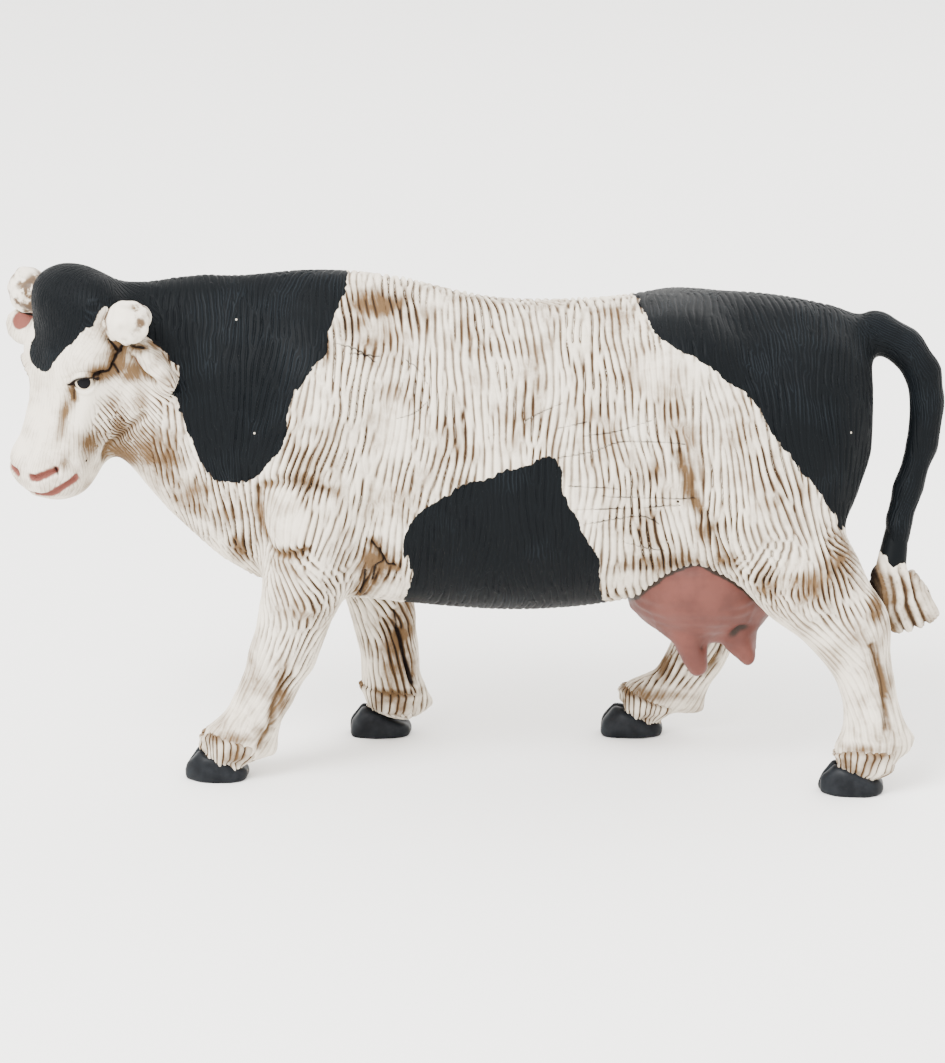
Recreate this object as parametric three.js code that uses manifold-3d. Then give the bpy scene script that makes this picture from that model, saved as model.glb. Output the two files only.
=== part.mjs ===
// A painted crib-figure cow, moulded in hard resin: a black and white dairy cow walking, with its head turned
// to its left, short knob horns, a full udder and a tail that swings out and back against the left hock.
// The figure is modelled whole as one blended form and then parted by thin cuts, so that head, neck, trunk, tail
// and legs are nodes of their own. Hooves, eyes, ears, horns, udder and tail switch are separate forms.
//
// Frame: millimetres, +Z up, the cow faces -Y and its left side is +X. The origin is on the floor, under the
// middle of the figure's bounding box.
import * as THREE from "three";
import { mergeVertices } from "three/addons/utils/BufferGeometryUtils.js";
import Module from "manifold-3d";

const wasm = await Module();
wasm.setup();

// ---------------------------------------------------------------- driving dimensions, mm and degrees
const WITHERS = 81.1; // height of the back over the shoulders
const CUT = 0.3; // width of the thin cuts that part the body
const CLEAR = 0.5; // how far the udder, horns, ears and switch stand off the body's own surface

// Facet sizes along X, Y and Z.
const CELL = {
  trunk: [4.4, 5.6, 4.4],
  neck: [3.5, 3.5, 3.8],
  head: [2.05, 2.05, 2.3],
  leg: [2.75, 2.75, 3.9],
  tail: [1.9, 1.9, 2.4],
  hoof: [2.4, 2.5, 2.0],
  udder: [3.2, 3.2, 2.9],
  ear: [1.7, 1.7, 1.7],
  horn: [2.1, 2.1, 2.1],
  switch: [1.9, 2.2, 2.2],
};

// Head: the middle of the poll, and how far the head is turned to the left, bowed and tipped.
const POLL = [4.4, -62.6, 78.6];
const HEAD_TURN = 35;
const HEAD_BOW = 72;
const HEAD_TIP = 5;

// Neck and trunk from the nape to the rump: place along the body, middle line, top, bottom, half width, and how
// much the section narrows towards the top line and the underline.
const BODY = [
  { y: -57, x: 2.4, top: 77.6, bottom: 53.8, half: 7.0, narrow: 0.3, keel: 0.2 },
  { y: -51, x: 2.2, top: 79.6, bottom: 45.5, half: 8.8, narrow: 0.35, keel: 0.3 },
  { y: -44, x: 1.4, top: 80.4, bottom: 37.9, half: 10.2, narrow: 0.4, keel: 0.3 },
  { y: -36, x: 0.6, top: 80.3, bottom: 31.8, half: 12.6, narrow: 0.45, keel: 0.2 },
  { y: -23, x: 0, top: WITHERS, bottom: 28.6, half: 16.2, narrow: 0.5, keel: 0.1 },
  { y: -10, x: 0, top: 79.2, bottom: 27.2, half: 18.4, narrow: 0.4, keel: 0.05 },
  { y: 3, x: 0, top: 76.0, bottom: 26.1, half: 19.2, narrow: 0.25, keel: 0.05 },
  { y: 16, x: 0, top: 75.6, bottom: 26.5, half: 19.3, narrow: 0.15, keel: 0.05 },
  { y: 30, x: 0, top: 76.8, bottom: 29.0, half: 18.2, narrow: 0.1, keel: 0.1 },
  { y: 43, x: 0, top: 77.0, bottom: 34.0, half: 16.4, narrow: 0.14, keel: 0.15 },
  { y: 54, x: 0, top: 75.2, bottom: 42.0, half: 13.6, narrow: 0.25, keel: 0.2 },
  { y: 61.5, x: 0, top: 70.8, bottom: 50.0, half: 9.6, narrow: 0.3, keel: 0.2 },
];

// Legs: joints from the shoulder or hip down to the pastern as [x, y, z, radius], the middle of the foot and its
// heading, and the tuft over the dewclaws.
const LEGS = {
  front_leg_left: {
    joints: [
      [10.8, -20, 60, 7.5],
      [12.2, -24.8, 42, 6.9],
      [11.8, -26.7, 32, 5.8],
      [11.0, -29.7, 22, 4.9],
      [10.0, -32.8, 14.4, 3.9],
      [9.6, -35.6, 9.2, 4.2],
    ],
    foot: [9.4, -40.9, -4],
    tuft: [9.6, -33.0, 5.4],
  },
  front_leg_right: {
    joints: [
      [-10.8, -20, 60, 7.5],
      [-12.0, -21.0, 42, 8.0],
      [-12.0, -16.4, 31, 6.4],
      [-12.6, -14.7, 21, 4.7],
      [-13.0, -13.4, 13, 4.2],
      [-13.2, -13.6, 9.0, 4.2],
    ],
    foot: [-13.2, -15.3, 3],
    tuft: [-13.2, -8.7, 6.2],
  },
  hind_leg_left: {
    joints: [
      [8.6, 43, 58, 10.0],
      [10.4, 43.5, 44, 9.6],
      [12.4, 52.6, 34, 7.8],
      [13.8, 59.2, 26.2, 5.9],
      [14.6, 62.1, 18, 3.8],
      [15.2, 63.2, 12, 3.8],
      [15.9, 63.0, 8.4, 4.1],
    ],
    foot: [16.4, 59.9, -3],
    tuft: [16.0, 67.8, 8.2],
  },
  hind_leg_right: {
    joints: [
      [-8.6, 41, 58, 10.0],
      [-10.8, 37.0, 43, 9.0],
      [-12.0, 39.6, 33, 6.8],
      [-12.8, 40.6, 24, 5.2],
      [-13.0, 37.6, 14.5, 4.2],
      [-13.2, 34.6, 9.4, 4.3],
    ],
    foot: [-13.2, 26.4, 4],
    tuft: [-13.2, 36.6, 5.0],
  },
};

// Tail from its root to where the switch begins, as [x, y, z, radius].
const TAIL = [
  [0.0, 50.0, 71.5, 3.6],
  [0.2, 58.0, 71.2, 3.4],
  [0.4, 63.6, 70.9, 3.0],
  [0.8, 68.2, 68.6, 2.75],
  [1.2, 71.2, 64.4, 2.6],
  [1.8, 72.0, 59.6, 2.5],
  [2.8, 71.3, 53.6, 2.3],
  [4.6, 68.9, 46.4, 2.2],
  [6.6, 66.9, 39.8, 2.05],
  [8.2, 66.0, 33.0, 2.0],
];

// Ears: root and tip in the head's own places, and the way that the hollow faces.
const EARS = {
  left: { ear: [[9.0, 5.2, -5.2], [17.4, 12.0, -11.8]], earFacing: [0.6, -0.6, -0.4] },
  right: { ear: [[-8.5, 6.8, -6.2], [-20.4, 9.0, -3.8]], earFacing: [0.6, -0.75, 0.1] },
};
const EYE = { place: [6.3, 12.9, -2.3], radius: 2.3 }; // left eye in the head's own places
const HORN = { from: [8.6, 3.2, -3.4], to: [14.2, 2.4, -2.0], base: 2.8, tip: 3.35 };

// ---------------------------------------------------------------- small vector and blending tools
const sub = (a, b) => [a[0] - b[0], a[1] - b[1], a[2] - b[2]];
const dot = (a, b) => a[0] * b[0] + a[1] * b[1] + a[2] * b[2];
const cross = (a, b) => [a[1] * b[2] - a[2] * b[1], a[2] * b[0] - a[0] * b[2], a[0] * b[1] - a[1] * b[0]];
const unit = (a) => a.map((v) => v / Math.hypot(...a));
const clamp = (v, low, high) => Math.min(high, Math.max(low, v));
const mix = (a, b, t) => a + (b - a) * t;
const radians = THREE.MathUtils.degToRad;

function blend(a, b, soft) {
  const h = Math.max(soft - Math.abs(a - b), 0) / soft;
  return Math.min(a, b) - (h * h * soft) / 4;
}

const carve = (a, b, soft) => -blend(-a, b, soft);

// ---------------------------------------------------------------- the masses that the forms are built from
// Each mass is a function of a point that is negative inside, with the distance to the surface in millimetres.
// A round bar that tapers from one ball to another.
function taper(from, to, rFrom, rTo) {
  const axis = sub(to, from);
  const length2 = dot(axis, axis);
  const rise = rFrom - rTo;
  const flat2 = length2 - rise * rise;
  return (p) => {
    const at = sub(p, from);
    const y = dot(at, axis);
    const z = y - length2;
    const across = [0, 1, 2].map((n) => at[n] * length2 - axis[n] * y);
    const x2 = dot(across, across);
    const y2 = y * y * length2;
    const z2 = z * z * length2;
    const k = Math.sign(rise) * rise * rise * x2;
    if (Math.sign(z) * flat2 * z2 > k) return Math.sqrt(x2 + z2) / length2 - rTo;
    if (Math.sign(y) * flat2 * y2 < k) return Math.sqrt(x2 + y2) / length2 - rFrom;
    return (Math.sqrt(x2 * flat2 / length2) + y * rise) / length2 - rFrom;
  };
}

// An ellipsoid with its three half sizes along three axes.
function oval(centre, radii, axes) {
  return (p) => {
    const d = sub(p, centre);
    const q = axes.map((axis, n) => dot(d, axis) / radii[n]);
    const k0 = Math.hypot(...q);
    const k1 = Math.hypot(q[0] / radii[0], q[1] / radii[1], q[2] / radii[2]);
    return k1 < 1e-9 ? -Math.min(...radii) : (k0 * (k0 - 1)) / k1;
  };
}

// An ellipsoid that is tilted about X, in degrees.
function lump(centre, radii, tilt = 0) {
  const c = Math.cos(radians(tilt));
  const s = Math.sin(radians(tilt));
  return oval(centre, radii, [[1, 0, 0], [0, c, s], [0, -s, c]]);
}

// A flattened ellipsoid from one point to another, with its flat side turned to face a direction.
function leaf(from, to, width, thickness, facing) {
  const along = unit(sub(to, from));
  const side = unit(cross(along, facing));
  const centre = [0, 1, 2].map((n) => (from[n] + to[n]) / 2);
  return oval(centre, [Math.hypot(...sub(to, from)) / 2, width, thickness], [along, side, cross(along, side)]);
}

const flow = (masses, soft) => (p) => masses.reduce((d, mass) => blend(d, mass(p), soft), 1e3);

// A chain of tapers through a list of joints, each [x, y, z, radius].
function limb(joints, soft) {
  const bones = joints.slice(1).map((to, i) => {
    const from = joints[i];
    return taper(from.slice(0, 3), to.slice(0, 3), from[3], to[3]);
  });
  return flow(bones, soft);
}

// A value of a list of stations at y, on a smooth curve through them.
function station(list, key, y) {
  const last = list.length - 1;
  const at = clamp(y, list[0].y, list[last].y);
  let i = 0;
  while (i < last - 1 && at > list[i + 1].y) i++;
  const slope = (k) => {
    const a = list[Math.max(k - 1, 0)];
    const b = list[Math.min(k + 1, last)];
    return (b[key] - a[key]) / (b.y - a.y);
  };
  const width = list[i + 1].y - list[i].y;
  const t = (at - list[i].y) / width;
  const bend = t * (1 - t) ** 2 * slope(i) - t * t * (1 - t) * slope(i + 1);
  return mix(list[i][key], list[i + 1][key], t * t * (3 - 2 * t)) + bend * width;
}

// The barrel of the body: an upright oval section at each station.
function barrel(list) {
  const first = list[0].y;
  const end = list[list.length - 1].y;
  return (p) => {
    const at = (key) => station(list, key, p[1]);
    const top = at("top");
    const bottom = at("bottom");
    const middle = mix(bottom, top, 0.46);
    const above = p[2] > middle;
    const height = above ? top - middle : middle - bottom;
    const rise = Math.min(Math.abs(p[2] - middle) / height, 1);
    const half = at("half") * (1 - at(above ? "narrow" : "keel") * rise ** 1.6);
    const x = Math.abs(p[0] - at("x")) / half;
    const z = Math.abs(p[2] - middle) / height;
    const k = (x ** 2.3 + z ** 2.3) ** (1 / 2.3);
    const side = (k - 1) * mix(half, height, z / (x + z + 1e-6)) * 0.9;
    const past = Math.max(first - p[1], p[1] - end);
    return carve(side, -past, 3);
  };
}

// ---------------------------------------------------------------- the head's own places
// Left of the face's middle line, down the face from the poll, and out of the forehead.
const headTurn = new THREE.Matrix4()
  .makeRotationZ(radians(HEAD_TURN))
  .multiply(new THREE.Matrix4().makeRotationX(radians(HEAD_BOW)))
  .multiply(new THREE.Matrix4().makeRotationY(radians(HEAD_TIP)));
const headAxes = [0, 1, 2].map((n) => new THREE.Vector3().setFromMatrixColumn(headTurn, n).toArray());

function onHead(left, down, out) {
  return [0, 1, 2].map((n) => POLL[n] + left * headAxes[0][n] - down * headAxes[1][n] + out * headAxes[2][n]);
}

function onHeadMass(mass) {
  return (p) => {
    const d = sub(p, POLL);
    return mass([dot(d, headAxes[0]), -dot(d, headAxes[1]), dot(d, headAxes[2])]);
  };
}

const mirrored = ([x, y, z]) => [-x, y, z];
const bothSides = (make) => [make((p) => p), make(mirrored)];

// ---------------------------------------------------------------- head
const skull = flow(
  [
    lump([0, 2.4, -2.8], [9.0, 6.1, 5.4]), // poll
    lump([-3.4, 1.8, -1.6], [6.0, 5.0, 4.8]), // forelock, which falls to the right
    lump([0, 6.0, -7.0], [9.4, 7.0, 6.0]), // back of the head
    lump([0, 10.0, -4.2], [8.8, 8.4, 6.0]), // forehead
    ...bothSides((at) => taper(at([2.6, 13, -4.7]), at([2.4, 27, -4.3]), 4.6, 4.1)), // bridge of the nose
    ...bothSides((at) => taper(at([2.4, 12.5, -12.4]), at([1.5, 26, -8.6]), 4.9, 3.4)), // lower jaw
    ...bothSides((at) => lump(at([4.4, 13.0, -10.6]), [3.6, 7.0, 7.0])), // cheeks
    ...bothSides((at) => lump(at([6.7, 10.6, -2.2]), [3.0, 3.5, 3.0])), // brows
    lump([0, 28.9, -5.0], [5.7, 4.2, 4.8]), // muzzle
    ...bothSides((at) => lump(at([3.7, 28.2, -2.9]), [2.6, 3.2, 2.6])), // nostrils
    lump([0, 28.5, -8.2], [3.9, 3.1, 2.9]), // lower lip and chin
  ],
  2.4,
);
const head = onHeadMass(skull);

// ---------------------------------------------------------------- legs
const SOLE_SLOPE = -22; // slope of the hair line over a hoof, down towards the heel
const HAIR_LINE = 4.0; // its height over the middle of the foot

function leg({ joints, foot, tuft }) {
  const [x, y] = foot;
  return flow(
    [
      limb(joints, 2.6),
      lump([x, y + 1.3, 5.5], [4.2, 4.9, 2.6], SOLE_SLOPE), // skirt of hair over the hoof
      lump([x, y + 3.4, 6.4], [3.9, 4.2, 3.4], SOLE_SLOPE), // pastern
      lump(tuft, [2.3, 2.7, 2.4], SOLE_SLOPE),
    ],
    1.8,
  );
}

// A hoof in its own places: toe towards -Y, flat sole on the floor, cleft in front.
function hoof([x, y, heading]) {
  const wall = flow([lump([0, -0.3, 0.8], [3.7, 5.2, 5.6]), lump([0, 2.2, 0.6], [3.6, 3.0, 3.6])], 1.2);
  const cleft = taper([0, -6.8, 0.2], [0, -2.6, 6.2], 0.6, 0.5);
  const c = Math.cos(radians(heading));
  const s = Math.sin(radians(heading));
  return (p) => {
    const dx = p[0] - x;
    const dy = p[1] - y;
    const q = [dx * c + dy * s, dy * c - dx * s, p[2]];
    return carve(wall(q), cleft(q), 0.6);
  };
}

// ---------------------------------------------------------------- whole body
const legs = Object.fromEntries(Object.entries(LEGS).map(([name, plan]) => [name, leg(plan)]));
const tail = limb(TAIL, 1.6);
const muscles = flow(
  [
    barrel(BODY),
    ...bothSides((at) => lump(at([6.6, -23, 56]), [10.2, 9.5, 20.0], 12)), // shoulder blades
    ...bothSides((at) => lump(at([9.6, 33, 67.0]), [8.8, 9.0, 8.6])), // hook bones
    ...bothSides((at) => lump(at([5.6, 56.0, 64]), [5.6, 6.0, 7.0])), // pin bones
    ...bothSides((at) => lump(at([8.4, 49.8, 54]), [9.0, 12.0, 16.0], 8)), // haunches
  ],
  4.5,
);

function tailless(p) {
  const d = blend(muscles(p), head(p), 3.4);
  return Object.values(legs).reduce((sum, one) => blend(sum, one(p), 2.8), d);
}

const tailRoot = limb(TAIL.slice(0, 3), 1.6);
const rooted = (p) => blend(tailless(p), tailRoot(p), 1.8);
const whole = (p) => blend(tailless(p), tail(p), 1.8);

const udder = flow(
  [
    lump([0, 36.6, 32.2], [13.2, 13.2, 11.6], -4),
    lump([3.4, 41.0, 28.4], [6.2, 6.8, 6.0]),
    lump([-3.4, 41.0, 28.4], [6.2, 6.8, 6.0]),
    taper([5.8, 33.8, 23], [6.4, 36.4, 17.8], 2.7, 1.9), // teats
    taper([5.6, 41.6, 24], [6.2, 43.7, 19.4], 2.6, 1.9),
    taper([-5.2, 33.4, 23], [-5.8, 35.4, 18.2], 2.7, 1.9),
    taper([-5.0, 41.2, 24], [-5.4, 42.8, 19.6], 2.6, 1.9),
  ],
  1.8,
);

const tailSwitch = flow(
  [
    taper([8.2, 66.0, 35.4], [8.8, 67.4, 30.0], 2.3, 3.3),
    taper([8.4, 67.0, 33.0], [9.6, 72.0, 27.8], 2.4, 1.9),
    taper([8.1, 65.4, 33.4], [8.6, 64.8, 28.8], 2.0, 2.4),
    taper([8.6, 66.6, 30.0], [9.2, 67.6, 26.4], 2.8, 2.4),
    taper([9.0, 69.0, 29.4], [9.6, 70.2, 26.4], 2.6, 1.7),
  ],
  1.6,
);

// ---------------------------------------------------------------- from a form to a closed mesh
// Surface nets: one vertex for each cell of a grid that the surface passes through, drawn onto the surface, and
// one quad for each grid edge that it crosses. The form is closed at the faces of the box low to high.
function skin(form, [low, high], cell) {
  const count = low.map((v, n) => Math.ceil((high[n] - v) / cell[n]) + 3);
  const at = (...step) => step.map((v, n) => low[n] + (v - 1) * cell[n]);
  const closed = (p) => Math.max(form(p), ...p.map((v, n) => Math.max(low[n] - v, v - high[n])));
  const index = (i, j, k) => i + count[0] * (j + count[1] * k);
  const values = new Float64Array(count[0] * count[1] * count[2]);
  const everyCell = (first, last, visit) => {
    for (let k = first; k < count[2] - last; k++)
      for (let j = first; j < count[1] - last; j++)
        for (let i = first; i < count[0] - last; i++) visit(i, j, k);
  };
  everyCell(0, 0, (i, j, k) => {
    values[index(i, j, k)] = closed(at(i, j, k));
  });
  const steps = [[1, 0, 0], [0, 1, 0], [0, 0, 1]];
  everyCell(0, 1, (i, j, k) => {
    for (let axis = 0; axis < 3; axis++) {
      const u = steps[(axis + 1) % 3];
      const w = steps[(axis + 2) % 3];
      const ring = [[0, 0], [1, 0], [1, 1], [0, 1]].map(([s, t]) =>
        index(i + s * u[0] + t * w[0], j + s * u[1] + t * w[1], k + s * u[2] + t * w[2]),
      );
      // Where the form touches itself across one face of the grid, the touch is filled in.
      const checkered = ring.every((at, n) => values[at] < 0 !== values[ring[(n + 1) % 4]] < 0);
      if (checkered) values[values[ring[0]] < 0 ? ring[1] : ring[0]] = -0.01;
    }
  });

  const corners = [0, 1, 2, 3, 4, 5, 6, 7].map((c) => [c & 1, (c >> 1) & 1, c >> 2]);
  const edges = corners.flatMap((_, c) => [1, 2, 4].filter((bit) => !(c & bit)).map((bit) => [c, c | bit]));
  const vertexOf = new Map();
  const places = [];
  everyCell(0, 1, (i, j, k) => {
    const v = corners.map(([a, b, c]) => values[index(i + a, j + b, k + c)]);
    const crossed = edges.filter(([a, b]) => v[a] < 0 !== v[b] < 0);
    if (!crossed.length) return;
    const sum = [0, 0, 0];
    for (const [a, b] of crossed) {
      const t = v[a] / (v[a] - v[b]);
      for (let n = 0; n < 3; n++) sum[n] += mix(corners[a][n], corners[b][n], t);
    }
    const corner = at(i, j, k);
    const start = corner.map((s, n) => s + (sum[n] / crossed.length) * cell[n]);
    vertexOf.set(index(i, j, k), places.length);
    places.push(settle(closed, start, corner, cell));
  });

  const faces = [];
  everyCell(1, 1, (i, j, k) => {
    steps.forEach((step, axis) => {
      const inside = values[index(i, j, k)] < 0;
      if (inside === values[index(i + step[0], j + step[1], k + step[2])] < 0) return;
      const u = steps[(axis + 1) % 3];
      const w = steps[(axis + 2) % 3];
      const quad = [[0, 0], [1, 0], [1, 1], [0, 1]].map(([s, t]) =>
        vertexOf.get(index(i - s * u[0] - t * w[0], j - s * u[1] - t * w[1], k - s * u[2] - t * w[2])),
      );
      if (!inside) quad.reverse();
      const span = (a, b) => places[quad[a]].distanceTo(places[quad[b]]);
      const order = span(0, 2) < span(1, 3) ? [0, 1, 2, 0, 2, 3] : [1, 2, 3, 1, 3, 0];
      faces.push(...order.map((n) => quad[n]));
    });
  });
  return new THREE.BufferGeometry().setFromPoints(places).setIndex(faces);
}

// Moves a point of a cell onto the surface, along the form's own slope, and keeps it inside the cell.
function settle(form, start, corner, cell) {
  let p = start;
  const tiny = 0.02;
  for (let turn = 0; turn < 3; turn++) {
    const d = form(p);
    const slope = [0, 1, 2].map((n) => (form(p.map((v, m) => (m === n ? v + tiny : v))) - d) / tiny);
    const step = d / Math.max(dot(slope, slope), 0.25);
    p = p.map((v, n) => clamp(v - step * slope[n], corner[n] + cell[n] * 0.07, corner[n] + cell[n] * 0.93));
  }
  return new THREE.Vector3(...p);
}

// A closed geometry as a solid that can be joined and cut.
function solid(geometry) {
  const bare = geometry.clone().deleteAttribute("normal").deleteAttribute("uv");
  const merged = mergeVertices(bare, 1e-4);
  const vertProperties = new Float32Array(merged.attributes.position.array);
  const triVerts = new Uint32Array(merged.index.array);
  return new wasm.Manifold(new wasm.Mesh({ numProp: 3, vertProperties, triVerts }));
}

// The whole body's skin where one node lies, or a skin that stands off it by an amount.
function flesh(name, off = 0) {
  const form = { trunk: rooted, tail: whole }[name] ?? tailless;
  return solid(skin((p) => form(p) - off, ROOM[name], CELL[name] ?? CELL.leg));
}

// A box around two points.
const around = (a, b, edge) => [a.map((v, n) => Math.min(v, b[n]) - edge), a.map((v, n) => Math.max(v, b[n]) + edge)];

// A block from its lowest to its highest corner, made larger all round by an amount.
function block(low, high, grow = 0) {
  const size = low.map((v, n) => high[n] - v + 2 * grow);
  const middle = low.map((v, n) => (v + high[n]) / 2);
  return solid(new THREE.BoxGeometry(...size).translate(...middle));
}

// What lies on the side of a plane that its normal looks to, half a cut away from it.
function beyond(shape, { at, normal }, side, away = CUT / 2) {
  const n = unit(normal).map((v) => v * side);
  return shape.trimByPlane(n, dot(n, at) + away);
}

const largest = (shape) => shape.decompose().sort((a, b) => b.volume() - a.volume())[0];

// ---------------------------------------------------------------- where the body is parted
const ROOM = {
  trunk: [[-26, -50, 22], [26, 66, 90]],
  neck: [[-22, -78, 24], [26, -24, 94]],
  head: [[-20, -88, 36], [34, -40, 94]],
  tail: [[-9, 54, 30], [18, 86, 86]],
  front_leg_left: [[-4, -54, -3], [30, -8, 54]],
  front_leg_right: [[-30, -40, -3], [4, 2, 54]],
  hind_leg_left: [[-4, 26, -3], [32, 78, 56]],
  hind_leg_right: [[-30, 18, -3], [4, 70, 56]],
  udder: [[-20, 16, 12], [20, 56, 52]],
};
const HEAD_CUT = { at: onHead(0, 8, -12.5), normal: [0.5, -0.84, 0.1] };
const NECK_CUT = { at: [0, -36, 60], normal: [0, -0.97, 0.24] };
const TAIL_CUT = { at: [0, 62.6, 68], normal: [0, 0.99, 0.1] };
const TAIL_BLOCK = [[-8, 55, 34.2], [16, 84, 84]];
const SWITCH_CUT = { at: [8.0, 66.0, 34.2], normal: [0, 0, -1] };
const LEG_CUTS = {
  front_leg_left: { box: [[3.8, -56, -6], [40, -9, 50]], at: [8, -25, 32], normal: [-0.45, 0.35, 0.82] },
  front_leg_right: { box: [[-40, -52, -6], [-3.8, -3, 50]], at: [-8, -19, 31], normal: [0.45, 0.35, 0.82] },
  hind_leg_left: { box: [[3.2, 24, -6], [40, 84, 60]], at: [7, 46, 32], normal: [-0.5, -0.28, 0.82] },
  hind_leg_right: { box: [[-40, 18, -6], [-3.2, 78, 60]], at: [-7, 42, 31.4], normal: [0.5, -0.24, 0.83] },
};

// The room that a leg is cut out of the body with; grown, it leaves the cut's width beside the leg.
function legRoom(name, grow) {
  const { box, at, normal } = LEG_CUTS[name];
  return beyond(block(...box, grow), { at, normal }, -1, CUT / 2 - grow);
}

// The plane between a hoof and the hair over it.
function hairLine([x, y]) {
  const tilt = radians(SOLE_SLOPE);
  return { at: [x, y, HAIR_LINE], normal: [0, -Math.sin(tilt), Math.cos(tilt)] };
}

// ---------------------------------------------------------------- nodes
const cow = new THREE.Group();
// Paint over the bare resin: warm white, satin black, flesh pink.
const paint = (color, roughness) => new THREE.MeshStandardMaterial({ color, roughness, metalness: 0 });
const WHITE = paint(0xe9e4d8, 0.55);
const BLACK = paint(0x23282c, 0.5);
const HORN_WHITE = paint(0xe4dccb, 0.5);
const PINK = paint(0xa8685c, 0.5);
const HOOF = paint(0x282c32, 0.5);
const EYE_BLACK = paint(0x0c0c0e, 0.2);

function add(name, shape, material) {
  const { vertProperties, triVerts, numProp } = shape.getMesh();
  const position = new Float32Array((vertProperties.length / numProp) * 3);
  for (let i = 0; i < position.length / 3; i++) {
    position.set(vertProperties.subarray(i * numProp, i * numProp + 3), i * 3);
  }
  const geometry = new THREE.BufferGeometry()
    .setAttribute("position", new THREE.BufferAttribute(position, 3))
    .setIndex(new THREE.BufferAttribute(triVerts, 1));
  geometry.computeVertexNormals();
  const mesh = new THREE.Mesh(geometry, material);
  mesh.name = name;
  cow.add(mesh);
}

// trunk and neck
const tailRoom = (grow) => beyond(block(...TAIL_BLOCK, grow), TAIL_CUT, 1, CUT / 2 - grow);
let trunkShape = beyond(flesh("trunk"), NECK_CUT, -1).subtract(tailRoom(CUT));
for (const name of Object.keys(LEGS)) trunkShape = trunkShape.subtract(legRoom(name, CUT));
add("trunk", largest(trunkShape), WHITE);

let neckShape = beyond(beyond(flesh("neck"), NECK_CUT, 1), HEAD_CUT, -1);
for (const name of ["front_leg_left", "front_leg_right"]) neckShape = neckShape.subtract(legRoom(name, CUT));
add("neck", largest(neckShape), BLACK);

// head with its eyes, ears and horns
let headShape = beyond(flesh("head"), HEAD_CUT, 1);
const headRoom = flesh("head", CLEAR);
for (const [side, at] of [["left", (p) => p], ["right", mirrored]]) {
  const middle = onHead(...at(EYE.place));
  const ball = (radius) => solid(new THREE.SphereGeometry(radius, 12, 8).translate(...middle));
  headShape = headShape.subtract(ball(EYE.radius + CUT));
  add(`eye_${side}`, ball(EYE.radius), EYE_BLACK);

  const from = onHead(...at(HORN.from));
  const to = onHead(...at(HORN.to));
  const knob = taper(from, to, HORN.base, HORN.tip);
  const hornShape = solid(skin(knob, around(from, to, 6), CELL.horn));
  add(`horn_${side}`, largest(hornShape.subtract(headRoom)), HORN_WHITE);

  const { ear, earFacing } = EARS[side];
  const [root, tip] = ear.map((place) => onHead(...place));
  const f = unit(earFacing);
  const along = (t, out) => root.map((v, n) => mix(v, tip[n], t) + f[n] * out);
  const outer = leaf(root, tip, 3.4, 2.4, f);
  const hollow = leaf(along(0.36, 2.3), along(0.92, 2.3), 1.4, 1.5, f);
  const cupped = (p) => Math.max(carve(outer(p), hollow(p), 0.4), CLEAR - knob(p));
  const earShape = solid(skin(cupped, around(root, tip, 4), CELL.ear));
  add(`ear_${side}`, largest(earShape.subtract(headRoom)), WHITE);
}
add("head", largest(headShape), WHITE);

// legs and hooves
for (const [name, { foot }] of Object.entries(LEGS)) {
  const line = hairLine(foot);
  const legShape = flesh(name).intersect(legRoom(name, 0));
  add(name, largest(beyond(legShape, line, 1)), WHITE);
  const [x, y] = foot;
  const hoofShape = solid(skin(hoof(foot), [[x - 7, y - 9, -4], [x + 7, y + 9, 9]], CELL.hoof));
  const floor = { at: [x, y, 0], normal: [0, 0, 1] };
  add(name.replace("leg", "hoof"), largest(beyond(beyond(hoofShape, line, -1), floor, 1, 0)), HOOF);
}

// udder, under the trunk and between the legs
const udderShape = solid(skin(udder, ROOM.udder, CELL.udder));
add("udder", largest(udderShape.subtract(flesh("udder", CLEAR + 0.6))), PINK);

// tail and its switch
add("tail", largest(beyond(flesh("tail").intersect(tailRoom(0)), SWITCH_CUT, -1)), BLACK);
const switchShape = beyond(solid(skin(tailSwitch, [[-2, 56, 16], [20, 82, 44]], CELL.switch)), SWITCH_CUT, 1);
add("tail_switch", largest(switchShape.subtract(flesh("hind_leg_left", CLEAR))), WHITE);

export default cow;
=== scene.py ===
"""A painted crib-figure cow, cast in hard resin: the finish that dresses the solid model.

The flesh of the figure is one skin, and hair that is carved with a modelling tool covers it from the nape to
the tail. Horns, eyes, hooves, udder, tail switch and the fringes over the hooves are pieces of their own.
Lengths in the sculpting functions are millimetres in the frame of the model: +Z is up, the cow faces -Y and
its left side is +X.
"""

import math

import bmesh
import bpy
import numpy as np
from bpy.props import FloatProperty, FloatVectorProperty, PointerProperty
from bpy.types import Operator, Panel, PropertyGroup
from mathutils import Matrix, Vector, kdtree
from mathutils.bvhtree import BVHTree


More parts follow.
